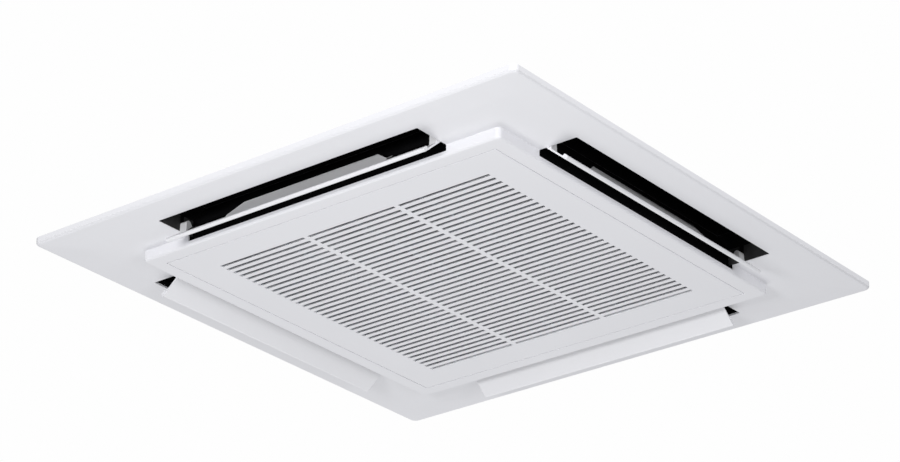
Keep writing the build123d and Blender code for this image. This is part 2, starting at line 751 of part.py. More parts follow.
with BuildPart() as hanger_brackets:
    for sx in (-1, 1):
        for sy in (-1, 1):
            with BuildSketch(Plane.XY.offset(hanger_height)):
                hanger_rectangle(sx, sy, hanger_width, 0, hanger_reach)
                with Locations((sx * hanger_x / 2, sy * hanger_y / 2)):
                    SlotOverall(hanger_slot_length, hanger_slot_width, mode=Mode.SUBTRACT)
            extrude(amount=hanger_plate)
            with BuildSketch(Plane.XY.offset(hanger_height)):
                hanger_rectangle(sx, sy, hanger_width, 0, hanger_plate)
            extrude(amount=-hanger_leg)
            for u in (-1, 1):
                with BuildSketch(Plane.XY.offset(hanger_height)):
                    mid, along, out = corner_frame(sx, sy)
                    edge = hanger_shift + u * (hanger_width / 2 - hanger_plate / 2)
                    gusset = []
                    half = hanger_plate / 2
                    for du, v in ((-half, 0), (half, 0), (half, hanger_gusset_reach), (-half, hanger_gusset_reach)):
                        gusset.append(tuple(mid[k] + (edge + du) * along[k] + v * out[k] for k in range(2)))
                    Polygon(*gusset, align=None)
                extrude(amount=-hanger_gusset)
save(hanger_brackets, "hanger_brackets")

with BuildPart() as hanger_screws:
    for sx in (-1, 1):
        for sy in (-1, 1):
            mid, along, out = corner_frame(sx, sy)
            for u in (-hanger_screw_half, hanger_screw_half):
                place = tuple(mid[k] + (hanger_shift + u) * along[k] + hanger_plate * out[k] for k in range(2))
                head = Plane(
                    origin=(place[0], place[1], hanger_height - hanger_screw_drop),
                    x_dir=(along[0], along[1], 0),
                    z_dir=(out[0], out[1], 0),
                )
                with BuildSketch(head):
                    RegularPolygon(2 * hanger_screw_radius, 6)
                extrude(amount=4)
save(hanger_screws, "hanger_screws")

# ---------------------------------------------------------------- drain pan and bell mouth
with BuildPart() as drain_pan:
    with BuildSketch(Plane.XY.offset(pan_bottom)):
        Rectangle(2 * tray_half, 2 * tray_half)
        Circle(pan_hole_radius, mode=Mode.SUBTRACT)
        with GridLocations(2 * panel_screw_at, 2 * panel_screw_at, 2, 2):
            Circle(panel_screw_radius + clear, mode=Mode.SUBTRACT)
        with Locations(plug_place):
            Circle(plug_radius, mode=Mode.SUBTRACT)
    extrude(amount=pan_height)
    # water channel under the coil, with a sump in the pipe corner
    groove_margin = 8.0
    with BuildSketch(Plane.XY.offset(pan_top - pan_groove_depth)):
        groove_out = coil_outer + groove_margin
        groove_in = coil_inner - groove_margin
        RectangleRounded(2 * groove_out, 2 * groove_out, coil_corner_radius)
        RectangleRounded(2 * groove_in, 2 * groove_in, coil_corner_radius, mode=Mode.SUBTRACT)
        Circle(pan_hole_radius, mode=Mode.SUBTRACT)
    extrude(amount=pan_groove_depth, mode=Mode.SUBTRACT)
    with BuildSketch(Plane.XY.offset(pan_top - pan_groove_depth)):
        with Locations((sump_centre, sump_centre)):
            Rectangle(sump_side, sump_side)
    extrude(amount=pan_groove_depth, mode=Mode.SUBTRACT)
save(drain_pan, "drain_pan")

# foam round the tray: a strip outside each air duct and a block in each corner
with BuildPart() as pan_rim:
    with BuildSketch(Plane.XY.offset(pan_bottom)):
        octagon(sheet + clear)
        Rectangle(2 * duct_inner, 2 * duct_inner, mode=Mode.SUBTRACT)
        with PolarLocations(duct_middle, 4):
            Rectangle(duct_outer - duct_inner, 2 * duct_half_length, mode=Mode.SUBTRACT)
        with PolarLocations(cabinet_half, 4):
            with GridLocations(1, 2 * duct_half_length + clear, 1, 2):
                Rectangle(2 * (cabinet_half - duct_outer), clear, mode=Mode.SUBTRACT)
    extrude(amount=pan_height)
save(pan_rim, "pan_rim")

with BuildPart() as bell_mouth:
    with BuildSketch(Plane.XY.offset(bell_bottom)):
        Rectangle(2 * bell_half, 2 * bell_half)
        Circle(bell_mouth_radius, mode=Mode.SUBTRACT)
        with GridLocations(2 * panel_screw_at, 2 * panel_screw_at, 2, 2):
            Circle(panel_screw_radius + clear, mode=Mode.SUBTRACT)
        with Locations(plug_place):
            Circle(plug_radius + plug_flange + 1.0, mode=Mode.SUBTRACT)
    extrude(amount=bell_plate)
    with BuildSketch(Plane.XZ):
        with BuildLine():
            flare = bell_mouth_radius - bell_throat_radius
            top = bell_bottom + bell_height
            arc_top = bell_bottom + flare * 0.8
            outer = ThreePointArc(
                (bell_mouth_radius + 1, bell_bottom),
                (bell_throat_radius + flare * 0.3, bell_bottom + flare * 0.33),
                (bell_throat_radius, arc_top),
            )
            Line((bell_throat_radius, arc_top), (bell_throat_radius, top))
            Line((bell_throat_radius, top), (bell_throat_radius + bell_plate, top))
            Line((bell_throat_radius + bell_plate, top), (bell_throat_radius + bell_plate, arc_top))
            ThreePointArc(
                (bell_throat_radius + bell_plate, arc_top),
                (bell_throat_radius + flare * 0.3 + 2, bell_bottom + flare * 0.33 + 2),
                (bell_mouth_radius + 1, bell_bottom + bell_plate),
            )
            Line((bell_mouth_radius + 1, bell_bottom + bell_plate), (bell_mouth_radius + 1, bell_bottom))
        make_face()
    revolve(axis=Axis.Z)
save(bell_mouth, "bell_mouth")

# ---------------------------------------------------------------- fan, motor and shaft
boss_radius = 18.0
boss_bottom = 150.0
boss_top = 180.0
web_low, web_high = 162.0, 178.0
web_sheet = 4.0
cone_radius = 100.0
cone_inner = cone_radius - 22.0
cone_outer = cone_radius + 26.0
shroud_middle = 88.0
shroud_top = 97.0
blade_sweep = radians(38)
blade_belly_radius = 216.0
blade_belly_share = 0.42
with BuildPart() as turbo_fan:
    # hub cone and back plate in one section, open above for the motor
    with BuildSketch(Plane.XZ):
        with BuildLine():
            Polyline(
                (shaft_radius + running, boss_bottom),
                (boss_radius, boss_bottom),
                (boss_radius, web_low),
                (cone_inner, web_high),
                (cone_radius + 8, fan_back - 18),
                (cone_outer, fan_back - fan_sheet),
                (fan_radius, fan_back - fan_sheet),
                (fan_radius, fan_back),
                (cone_outer - 2, fan_back),
                (cone_radius + 5, fan_back - 16),
                (cone_inner - 2, web_high + fan_sheet),
                (boss_radius, web_low + web_sheet),
                (boss_radius, boss_top),
                (shaft_radius + running, boss_top),
                close=True,
            )
        make_face()
    revolve(axis=Axis.Z)
    # shroud round the inlet
    with BuildSketch(Plane.XZ):
        with BuildLine():
            ThreePointArc((fan_inlet_radius, fan_bottom), (fan_inlet_radius + 6, shroud_middle), (fan_radius, shroud_top))
            Line((fan_radius, shroud_top), (fan_radius, shroud_top + fan_sheet))
            ThreePointArc(
                (fan_radius, shroud_top + fan_sheet),
                (fan_inlet_radius + 3, shroud_middle + 2.5),
                (fan_inlet_radius - 2.4, fan_bottom),
            )
            Line((fan_inlet_radius - 2.4, fan_bottom), (fan_inlet_radius, fan_bottom))
        make_face()
    revolve(axis=Axis.Z)
    # backward-curved blades
    with BuildSketch(Plane.XY.offset(shroud_top + 1)):
        with PolarLocations(0, fan_blades):
            with BuildLine():
                start = (blade_inner_radius, 0)
                end = ((fan_radius - 1) * cos(blade_sweep), -(fan_radius - 1) * sin(blade_sweep))
                belly = blade_sweep * blade_belly_share
                middle = (blade_belly_radius * cos(belly), -blade_belly_radius * sin(belly))
                inner_middle = (
                    middle[0] - blade_thickness * 0.9,
                    middle[1] - blade_thickness * 0.5,
                )
                ThreePointArc(start, middle, end)
                ThreePointArc(end, inner_middle, start)
            make_face()
    extrude(amount=fan_back - fan_sheet / 2 - shroud_top - 1)
save(turbo_fan, "turbo_fan")

shaft_bottom = 132.0
with BuildPart() as motor_shaft:
    with BuildSketch(Plane.XY.offset(shaft_bottom)):
        Circle(shaft_radius)
    extrude(amount=motor_top - 6 - shaft_bottom)
    chamfer(motor_shaft.edges().group_by(Axis.Z)[0], 1.0)
save(motor_shaft, "motor_shaft")

with BuildPart() as fan_nut:
    with BuildSketch(Plane.XY.offset(boss_bottom - 2)):
        Circle(boss_radius - 2)
        Circle(shaft_radius + running, mode=Mode.SUBTRACT)
    extrude(amount=2)
    with BuildSketch(Plane.XY.offset(boss_bottom - 12)):
        RegularPolygon(11, 6)
        Circle(shaft_radius + running, mode=Mode.SUBTRACT)
    extrude(amount=10)
save(fan_nut, "fan_nut")

motor_tab_radius = 82.0
motor_tab_z = motor_top - 22.0
motor_tabs = 3
with BuildPart() as fan_motor:
    with BuildSketch(Plane.XY.offset(motor_bottom)):
        Circle(motor_radius)
    extrude(amount=motor_height)
    fillet(fan_motor.edges().group_by(Axis.Z)[0], radius=10)
    fillet(fan_motor.edges().group_by(Axis.Z)[-1], radius=10)
    with BuildSketch(Plane.XY.offset(motor_tab_z)):
        with PolarLocations(motor_tab_radius - 10, motor_tabs):
            SlotOverall(36, 22)
        with PolarLocations(motor_tab_radius - 2, motor_tabs):
            Circle(4, mode=Mode.SUBTRACT)
    extrude(amount=4)
    with BuildSketch(Plane.XY.offset(motor_bottom - 1)):
        Circle(shaft_radius + running)
    extrude(amount=motor_height - 4, mode=Mode.SUBTRACT)
save(fan_motor, "fan_motor")

with BuildPart() as motor_mounts:
    with BuildSketch(Plane.XY.offset(motor_tab_z + 4)):
        with PolarLocations(motor_tab_radius - 2, motor_tabs):
            Circle(9)
    extrude(amount=cabinet_top - motor_tab_z - 4)
save(motor_mounts, "motor_mounts")

with BuildPart() as motor_studs:
    with BuildSketch(Plane.XY.offset(motor_tab_z - 6)):
        with PolarLocations(motor_tab_radius - 2, motor_tabs):
            Circle(3.4)
    extrude(amount=10)
    with BuildSketch(Plane.XY.offset(motor_tab_z - 4)):
        with PolarLocations(motor_tab_radius - 2, motor_tabs):
            RegularPolygon(6.5, 6)
    extrude(amount=4)
save(motor_studs, "motor_studs")

# ---------------------------------------------------------------- heat exchanger
with BuildPart() as coil_fins:
    with BuildSketch(Plane.XY.offset(coil_bottom)):
        RectangleRounded(2 * coil_outer, 2 * coil_outer, coil_corner_radius)
        RectangleRounded(2 * coil_inner, 2 * coil_inner, coil_bend_radius, mode=Mode.SUBTRACT)
        corner = coil_outer + 10 - coil_open_corner
        with Locations((coil_open_corner + corner / 2, coil_open_corner + corner / 2)):
            Rectangle(corner, corner, mode=Mode.SUBTRACT)
    extrude(amount=coil_top - coil_bottom)
save(coil_fins, "coil_fins")

end_plate = 1.5
coil_depth = coil_outer - coil_inner
end_face = coil_open_corner + end_plate
with BuildPart() as coil_end_plates:
    for centre, size in (
        ((coil_open_corner + end_plate / 2, coil_middle), (end_plate, coil_depth)),
        ((coil_middle, coil_open_corner + end_plate / 2), (coil_depth, end_plate)),
    ):
        with BuildSketch(Plane.XY.offset(coil_bottom)):
            with Locations(centre):
                Rectangle(*size)
        extrude(amount=coil_top - coil_bottom)
save(coil_end_plates, "coil_end_plates")

row_pitch = (coil_top - coil_bottom) / (coil_rows + 0.5)
row_places = [coil_bottom + row_pitch * (k + 0.75) for k in range(coil_rows)]
bend_radius = 9.0
bend_column = coil_middle + 9.0
with BuildPart() as return_bends:
    for k in range(0, coil_rows - 1, 2):
        height = (row_places[k] + row_places[k + 1]) / 2
        reach = row_pitch / 2
        for plane in (
            Plane(origin=(end_face, bend_column, height), x_dir=(1, 0, 0), z_dir=(0, 1, 0)),
            Plane(origin=(bend_column, end_face, height), x_dir=(0, 1, 0), z_dir=(-1, 0, 0)),
        ):
            with BuildLine(plane) as bend:
                CenterArc((0, 0), reach, -90, 180)
            with BuildSketch(Plane(origin=bend.line @ 0, z_dir=bend.line % 0)):
                Circle(coil_tube_radius)
            sweep(path=bend.line)
save(return_bends, "return_bends")

header_radius = 9.0
bead_rise = 1.6
pipe_end = cabinet_half + pipe_reach
bead_start = pipe_end - pipe_free_end - pipe_bead
with BuildPart() as gas_header:
    header_x = feeder_column
    with BuildSketch(Plane.XY.offset(coil_bottom + 12)):
        with Locations((header_x, coil_open_corner + header_offset)):
            Circle(header_radius)
    extrude(amount=coil_top - coil_bottom - 60)
    for k in range(0, coil_rows - 2, 2):
        with BuildSketch(Plane(origin=(header_x, end_face, row_places[k]), x_dir=(1, 0, 0), z_dir=(0, 1, 0))):
            Circle(coil_tube_radius)
        extrude(amount=header_offset - end_plate)
    # outlet run to the cabinet's side
    with BuildSketch(Plane(origin=(header_x, gas_y, gas_z), x_dir=(0, 1, 0), z_dir=(1, 0, 0))):
        Circle(gas_pipe_radius)
    extrude(amount=pipe_end - header_x)
    with BuildSketch(Plane(origin=(bead_start, gas_y, gas_z), x_dir=(0, 1, 0), z_dir=(1, 0, 0))):
        Circle(gas_pipe_radius + bead_rise)
    extrude(amount=pipe_bead)
save(gas_header, "gas_pipe")

with BuildPart() as liquid_pipe:
    header_y = liquid_column
    header_at = coil_open_corner + header_offset
    with BuildSketch(Plane.XY.offset(coil_bottom + 12)):
        with Locations((header_at, header_y)):
            Circle(6.5)
    extrude(amount=coil_top - coil_bottom - 70)
    for k in range(0, coil_rows - 2, 2):
        with BuildSketch(Plane(origin=(end_face, header_y, row_places[k]), x_dir=(0, 1, 0), z_dir=(1, 0, 0))):
            Circle(coil_tube_radius * 0.7)
        extrude(amount=header_offset - end_plate)
    with BuildLine() as route:
        FilletPolyline(
            (header_at, header_y, liquid_z),
            (header_at, liquid_y, liquid_z),
            (pipe_end, liquid_y, liquid_z),
            radius=15,
        )
    with BuildSketch(Plane(origin=route.line @ 0, z_dir=route.line % 0)):
        Circle(liquid_pipe_radius)
    sweep(path=route.line)
    with BuildSketch(Plane(origin=(bead_start, liquid_y, liquid_z), x_dir=(0, 1, 0), z_dir=(1, 0, 0))):
        Circle(liquid_pipe_radius + bead_rise)
    extrude(amount=pipe_bead)
save(liquid_pipe, "liquid_pipe")

flare_nut_length = 22.0
with BuildPart() as flare_nuts:
    for y, z, bore, size in (
        (gas_y, gas_z, gas_pipe_radius, 14.5),
        (liquid_y, liquid_z, liquid_pipe_radius, 10.5),
    ):
        with BuildSketch(Plane(origin=(bead_start, y, z), x_dir=(0, 1, 0), z_dir=(1, 0, 0))):
            RegularPolygon(size, 6)
            Circle(bore + running, mode=Mode.SUBTRACT)
        extrude(amount=-flare_nut_length)
save(flare_nuts, "flare_nuts")

with BuildPart() as pipe_cover:
    with BuildSketch(wall_x):
        with Locations((cover_y, cover_z)):
            RectangleRounded(cover_width, cover_height, 3)
        with Locations((gas_y, gas_z)):
            Circle(gas_pipe_radius + 1, mode=Mode.SUBTRACT)
        with Locations((liquid_y, liquid_z)):
            Circle(liquid_pipe_radius + 1, mode=Mode.SUBTRACT)
    extrude(amount=sheet)
save(pipe_cover, "pipe_cover")

# ---------------------------------------------------------------- drain pump, float switch and drain port
pump_x, pump_y = 292.0, 304.0
pump_radius = 28.0
pump_bottom = pan_top - pan_groove_depth + 3.0
pump_motor_bottom = 170.0
pump_motor_top = 236.0
impeller_radius = 9.0
pump_shaft_radius = 1.5
with BuildPart() as drain_pump:
    with BuildSketch(Plane.XZ.offset(-pump_y)):
        with BuildLine():
            Polyline(
                (pump_x + 5, pump_bottom),
                (pump_x + 14, pump_bottom),
                (pump_x + 14, pump_bottom + 18),
                (pump_x + 8, pump_bottom + 24),
                (pump_x + 8, pump_motor_bottom - 14),
                (pump_x + pump_radius - 6, pump_motor_bottom),
                (pump_x + pump_radius, pump_motor_bottom + 4),
                (pump_x + pump_radius, pump_motor_top),
                (pump_x + pump_shaft_radius + running, pump_motor_top),
                (pump_x + pump_shaft_radius + running, pump_motor_bottom),
                (pump_x + 5, pump_motor_bottom - 16),
                (pump_x + 5, pump_bottom + 20),
                (pump_x + 11, pump_bottom + 16),
                (pump_x + 11, pump_bottom + 3),
                (pump_x + 5, pump_bottom + 3),
                close=True,
            )
        make_face()
    revolve(axis=Axis((pump_x, pump_y, 0), (0, 0, 1)))
    # outlet nozzle towards the drain port
    with BuildSketch(Plane(origin=(drain_x, pump_y + 10, drain_z), x_dir=(1, 0, 0), z_dir=(0, 1, 0))):
        Circle(7)
    extrude(amount=26)
    with Locations((pump_x, pump_y, (pump_motor_bottom + pump_motor_top) / 2)):
        Cylinder(pump_shaft_radius + running, pump_motor_top - pump_motor_bottom + 4, mode=Mode.SUBTRACT)
save(drain_pump, "drain_pump")

with BuildPart() as pump_impeller:
    with BuildSketch(Plane.XY.offset(pump_bottom + 5)):
        with Locations((pump_x, pump_y)):
            Circle(3.5)
            with PolarLocations(0, 4):
                with Locations((impeller_radius / 2, 0)):
                    Rectangle(impeller_radius, 1.6)
    extrude(amount=8)
    with BuildSketch(Plane.XY.offset(pump_bottom + 5)):
        with Locations((pump_x, pump_y)):
            Circle(pump_shaft_radius)
    extrude(amount=pump_motor_top - 4 - pump_bottom - 5)
save(pump_impeller, "pump_impeller")

float_x, float_y = 324.0, 322.0
float_radius = 9.0
float_stem_radius = 2.5
float_travel = 14.0
float_bottom = pan_top - pan_groove_depth + 5.0
bracket_plate = 2.0
bracket_x, bracket_y = 301.5, 306.0
bracket_width, bracket_depth = 69.0, 60.0
with BuildPart() as pump_bracket:
    with BuildSketch(Plane.XY.offset(pump_motor_top)):
        with Locations((bracket_x, bracket_y)):
            Rectangle(bracket_width, bracket_depth)
        with Locations((pump_x, pump_y)):
            Circle(pump_shaft_radius + 1, mode=Mode.SUBTRACT)
    extrude(amount=bracket_plate)
    leg = cabinet_top - top_insulation_depth - pump_motor_top - bracket_plate
    with BuildSketch(Plane.XY.offset(pump_motor_top + bracket_plate)):
        with Locations((bracket_x, bracket_y + bracket_depth / 2 - bracket_plate / 2)):
            Rectangle(bracket_width - 9, bracket_plate)
    extrude(amount=leg)
    with BuildSketch(Plane.XY.offset(pump_motor_top + bracket_plate + leg - bracket_plate)):
        with Locations((bracket_x, bracket_y + bracket_depth / 2 - 12)):
            Rectangle(bracket_width - 9, 24)
    extrude(amount=bracket_plate)
save(pump_bracket, "pump_bracket")

with BuildPart() as float_stem:
    with BuildSketch(Plane.XY.offset(float_bottom - 2)):
        with Locations((float_x, float_y)):
            Circle(float_stem_radius)
    extrude(amount=pump_motor_top - float_bottom + 2)
    for low in (float_bottom - 2, float_bottom + 14 + float_travel + clear):
        with BuildSketch(Plane.XY.offset(low)):
            with Locations((float_x, float_y)):
                Circle(float_stem_radius + 2)
        extrude(amount=1.7)
    with BuildSketch(Plane.XY.offset(pump_motor_top - 12)):
        with Locations((float_x, float_y)):
            Circle(6)
    extrude(amount=12)
save(float_stem, "float_stem")

with BuildPart() as float_ring:
    with BuildSketch(Plane.XY.offset(float_bottom)):
        with Locations((float_x, float_y)):
            Circle(float_radius)
            Circle(float_stem_radius + 2 * running, mode=Mode.SUBTRACT)
    extrude(amount=14)
save(float_ring, "drain_float")

nozzle_end = pump_y + 36
port_start = cabinet_half - sheet - wall_insulation - 8
with BuildPart() as drain_hose:
    hose = Plane(origin=(drain_x, nozzle_end - 14, drain_z), x_dir=(1, 0, 0), z_dir=(0, 1, 0))
    with BuildSketch(hose):
        Circle(9.5)
        Circle(7 + running, mode=Mode.SUBTRACT)
    extrude(amount=port_start - nozzle_end + 24)
save(drain_hose, "drain_hose")

with BuildPart() as drain_port:
    with BuildSketch(Plane(origin=(drain_x, port_start, drain_z), x_dir=(1, 0, 0), z_dir=(0, 1, 0))):
        Circle(drain_port_radius)
        Circle(drain_port_radius - 3, mode=Mode.SUBTRACT)
    extrude(amount=cabinet_half + 45 - port_start)
    with BuildSketch(Plane(origin=(drain_x, cabinet_half, drain_z), x_dir=(1, 0, 0), z_dir=(0, 1, 0))):
        Circle(drain_port_radius + 2)
        Circle(drain_port_radius - 1, mode=Mode.SUBTRACT)
    extrude(amount=3)
save(drain_port, "drain_port")

# ---------------------------------------------------------------- electrics
box_half = 120.0
box_near = -(collar_inner - 4.0)
box_far = -256.0
box_bottom = -2.0
box_wall = 1.5
box_middle = (box_near + box_far) / 2
box_depth = box_far - box_near
board_x = -14.0
board_length = 198.0
board_width = 60.0
with BuildPart() as control_box:
    with BuildSketch(Plane.XY.offset(box_bottom + box_wall)):
        with Locations((0, box_middle)):
            Rectangle(2 * box_half, box_depth)
    extrude(amount=bell_bottom - box_bottom - box_wall)
    with BuildSketch(Plane.XY.offset(box_bottom + box_wall)):
        with Locations((0, box_middle)):
            Rectangle(2 * (box_half - box_wall), box_depth - 2 * box_wall)
    extrude(amount=bell_bottom - box_bottom - 2 * box_wall, mode=Mode.SUBTRACT)
    with BuildSketch(Plane.XY.offset(bell_bottom - box_wall - 8)):
        with Locations((board_x, box_middle)):
            with GridLocations(board_length - 16, board_width - 14, 2, 2):
                Circle(4)
    extrude(amount=8 + box_wall / 2)
save(control_box, "control_box")

board_z = bell_bottom - box_wall - 8 - 1.6
with BuildPart() as circuit_board:
    with BuildSketch(Plane.XY.offset(board_z)):
        with Locations((board_x, box_middle)):
            Rectangle(board_length, board_width)
    extrude(amount=1.6)
    # transformer, capacitors, relays and chips hang below the board
    for x, dy, w, d, h in (
        (-90, 0, 26, 30, 18),
        (-52, 12, 22, 14, 12),
        (-52, -12, 22, 14, 12),
        (-20, 14, 14, 14, 4),
        (10, -10, 30, 12, 3),
        (45, 10, 20, 16, 9),
    ):
        with BuildSketch(Plane.XY.offset(board_z)):
            with Locations((x, box_middle + dy)):
                Rectangle(w, d)
        extrude(amount=-h)
    for x in (-14, 4):
        with BuildSketch(Plane.XY.offset(board_z)):
            with Locations((x, box_middle - 12)):
                Circle(7)
        extrude(amount=-19)
save(circuit_board, "circuit_board")

with BuildPart() as terminal_block:
    with BuildSketch(Plane.XY.offset(bell_bottom - box_wall)):
        with Locations((98, box_middle)):
            Rectangle(24, 52)
    extrude(amount=-15)
    with BuildSketch(Plane.XY.offset(bell_bottom - box_wall - 15)):
        with Locations((98, box_middle)):
            with GridLocations(1, 9, 1, 5):
                Rectangle(20, 6.5)
    extrude(amount=6, mode=Mode.SUBTRACT)
save(terminal_block, "terminal_block")

with BuildPart() as control_cover:
    with BuildSketch(Plane.XY.offset(box_bottom)):
        with Locations((0, box_middle)):
            Rectangle(2 * box_half, box_depth)
            with GridLocations(2 * box_half - 16, box_depth - 14, 2, 2):
                Circle(1.8, mode=Mode.SUBTRACT)
    extrude(amount=box_wall)
save(control_cover, "control_cover")

with BuildPart() as control_screws:
    with BuildSketch(Plane.XY.offset(box_bottom - 2)):
        with Locations((0, box_middle)):
            with GridLocations(2 * box_half - 16, box_depth - 14, 2, 2):
                Circle(3.4)
    extrude(amount=2)
    with BuildSketch(Plane.XY.offset(box_bottom)):
        with Locations((0, box_middle)):
            with GridLocations(2 * box_half - 16, box_depth - 14, 2, 2):
                Circle(1.5)
    extrude(amount=8)
save(control_screws, "control_screws")

with BuildPart() as cable_gland:
    gland = Plane(origin=(cabinet_half + 2.5, gland_y, gland_z), x_dir=(0, 1, 0), z_dir=(1, 0, 0))
    with BuildSketch(gland):
        Circle(gland_radius + 4)
        Circle(6, mode=Mode.SUBTRACT)
    extrude(amount=-2.5)
    with BuildSketch(gland):
        Circle(gland_radius - clear)
        Circle(6, mode=Mode.SUBTRACT)
    extrude(amount=-2.5 - sheet - wall_insulation)
save(cable_gland, "cable_gland")

with BuildPart() as room_sensor:
    with BuildSketch(Plane.XY.offset(bell_bottom)):
        with Locations((210, -292)):
            Rectangle(14, 10)
    extrude(amount=-6)
    with BuildSketch(Plane(origin=(196, -292, bell_bottom - 8), x_dir=(0, 1, 0), z_dir=(1, 0, 0))):
        Circle(3)
    extrude(amount=28)
save(room_sensor, "room_sensor")

with BuildPart() as pan_plug:
    with BuildSketch(Plane.XY.offset(pan_bottom)):
        with Locations(plug_place):
            Circle(plug_radius - clear)
    extrude(amount=pan_height - pan_groove_depth)
    with BuildSketch(Plane.XY.offset(pan_bottom)):
        with Locations(plug_place):
            Circle(plug_radius + plug_flange)
    extrude(amount=-bell_plate)
save(pan_plug, "pan_plug")
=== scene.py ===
import json
import math

import bmesh
import bpy
from mathutils import Matrix, Vector


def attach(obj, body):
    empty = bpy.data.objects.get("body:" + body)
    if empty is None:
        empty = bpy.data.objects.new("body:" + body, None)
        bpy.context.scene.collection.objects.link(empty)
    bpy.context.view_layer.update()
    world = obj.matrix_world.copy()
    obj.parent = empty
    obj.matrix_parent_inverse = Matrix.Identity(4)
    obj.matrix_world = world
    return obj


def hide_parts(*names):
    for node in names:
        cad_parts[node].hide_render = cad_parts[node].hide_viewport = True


# Ceiling cassette air conditioner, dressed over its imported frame.
# Sizes are in millimetres and heights count from the ceiling's lower surface.
# place() turns them into the frame's metres. Lights and camera are given in metres.

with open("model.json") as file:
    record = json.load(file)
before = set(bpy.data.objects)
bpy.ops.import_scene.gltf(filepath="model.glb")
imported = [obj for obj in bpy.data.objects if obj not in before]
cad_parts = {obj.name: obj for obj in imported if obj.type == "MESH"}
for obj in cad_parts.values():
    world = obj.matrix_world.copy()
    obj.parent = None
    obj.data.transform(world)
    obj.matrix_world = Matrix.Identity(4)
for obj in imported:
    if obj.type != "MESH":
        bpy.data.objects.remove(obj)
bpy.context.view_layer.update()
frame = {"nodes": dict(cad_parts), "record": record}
nodes = frame["nodes"]

CEILING = -166.25  # the ceiling's lower surface, in the frame
BAND = -13.3  # the level band that the four slots are cut in
FACE = -31.2  # the raised centre's face
SKIN = 2.8
HAIR = 0.01  # keeps joined faces out of one plane

# the panel: rim, margin, slots, raised centre and the collar round the intake
PANEL_HALF, PANEL_CORNER = 475.0, 10.0
RIM_HEIGHT, RIM_ROUND, RIM_WALL = 12.0, 4.5, 5.0
MARGIN_BEND, MARGIN_LIFT = 1.5, 0.12  # the soft bend between margin and band
SLOT_OUTER, SLOT_INNER, SLOT_HALF, SLOT_CORNER = 422.0, 344.0, 256.5, 1.8
SLOT_WALL_TOP, SLOT_CUT_TOP = BAND - 9.7, 6.0
CENTRE_HALF, CENTRE_CORNER, CENTRE_ROUND, CENTRE_FOOT = 354.0, 8.0, 4.0, 1.2
COLLAR_IN, COLLAR_OUT, COLLAR_TOP = 328.1, 330.9, 31.0
SHELF, SHELF_PLATE, SHELF_SCREW, SHELF_HOLE = 34.0, 3.0, 18.0, 3.3  # screw shelves in its corners

# the grille: border, bars, cross ribs, hinge notches and lugs, and the net behind it
GRILLE_HALF, OPENING_HALF, SEAM_EASE, SEAM_MIDDLE = 326.0, 327.2, 0.3, 0.1
GRILLE_PLATE, SKIRT_TOP, SKIRT_WALL, SKIRT_INSET = 3.0, FACE + 12.0, 3.0, 0.5
SLITS, SLIT_PITCH, SLIT_WIDTH = 36, 15.12, 7.0
FIELD_HALF, FIELD_WALL = 267.9, 2.0
BAR_EASE, BAR_SIDE, BAR_UNDERCUT, BAR_BACK, BAR_DEPTH, BAR_LAP = 0.35, 0.5, 1.9, 1.2, 4.3, 0.3
RIB_WIDTH, RIB_DEPTH, RIB_AT, RIB_SETBACK = 8.0, 1.5, 90.3, 0.08
HINGE_X, HINGE_Y, HINGE_Z = 180.0, 281.0, FACE + 9.0
NOTCH_HALF, NOTCH_REACH = 13.0, 18.0
LUG_BORE, LUG_RADIUS, LUG_NEAR, LUG_FAR, LUG_SUNK = 2.55, 4.8, 6.3, 10.3, 0.6
NET_THREADS, NET_HALF_Y, NET_MARGIN, NET_UP, THREAD_RADIUS = 276, 270.5, 10.0, FACE + 10.4, 0.16

# the vanes: angle in the photograph, pivot, blade, fin, ears, pins and pads
VANE_OPEN, LIP, PIVOT_BACK, PIVOT_UP = 40.5, 419.4, 50.0, 9.0
PIVOT = (LIP - PIVOT_BACK, BAND + PIVOT_UP)
VANE_HALF = 255.5
LIP_HIGH, LIP_DEPTH, PLATE, CHORD = 6.8, 9.0, 2.6, 65.0
FIN_FOOT, FIN_TIP, FIN_SHEET, FIN_SAG = 36.0, (62.0, 12.0), 2.2, 0.5
FIN_FULL_HALF, FIN_HALF, FIN_LOW = 133.0, 160.0, 0.2  # full reach up to 133, a fifth of it at 160
FIN_RIB_PITCH, FIN_RIB_HALF = 90, 1.2
EAR_RADIUS, EAR_RISE, EAR_LENGTH, EAR_ROOTS = 5.0, 1.7, 14.0, (36.0, 55.0)
PIN_RADIUS, PIN_IN, PIN_OUT, PIN_CHAMFER = 3.0, 6.0, 10.0, 0.6
# black pads of painted shade on the vanes' backs: lift, top, start and chamfer, then spans with their
# inner reach
PAD_LIFT, PAD_TOP, PAD_FROM, PAD_CHAMFER = 0.05, 0.7, LIP_DEPTH + 2.6, 0.5
SHADE_PAD_SPANS = [(-240.5, -161.0, CHORD - 2.5), (-160.0, 160.0, FIN_FOOT - 1.5), (161.0, 240.5, CHORD - 2.5)]

# inside the slots: end cheeks, outer edge and duct lining, then the step behind the grille's seam
CHEEK_FACES, CHEEK_SPANS = (255.9, 256.3), ((345.0, 365.8), (374.0, 420.0))
CHEEK_FOOT, CHEEK_TOP = BAND + 0.6, 15.0
EDGE_FACES, EDGE_HALF, EDGE_FOOT, EDGE_TOP = (421.5, 421.9), 255.6, BAND + 0.3, 4.0
LINING_OUTER, LINING_INNER, LINING_CORNER = (31.2, 237.2), (29.4, 235.4), 3.0
LINING_AT, LINING_FOOT, LINING_TOP = 368.0, 34.4, 88.0
STEP_OUT, STEP_IN, STEP_CORNER, STEP_END = 328.0, 326.35, 326.3, 300.0
STEP_FOOT, STEP_TOP = FACE + 1.2, FACE + 2.6

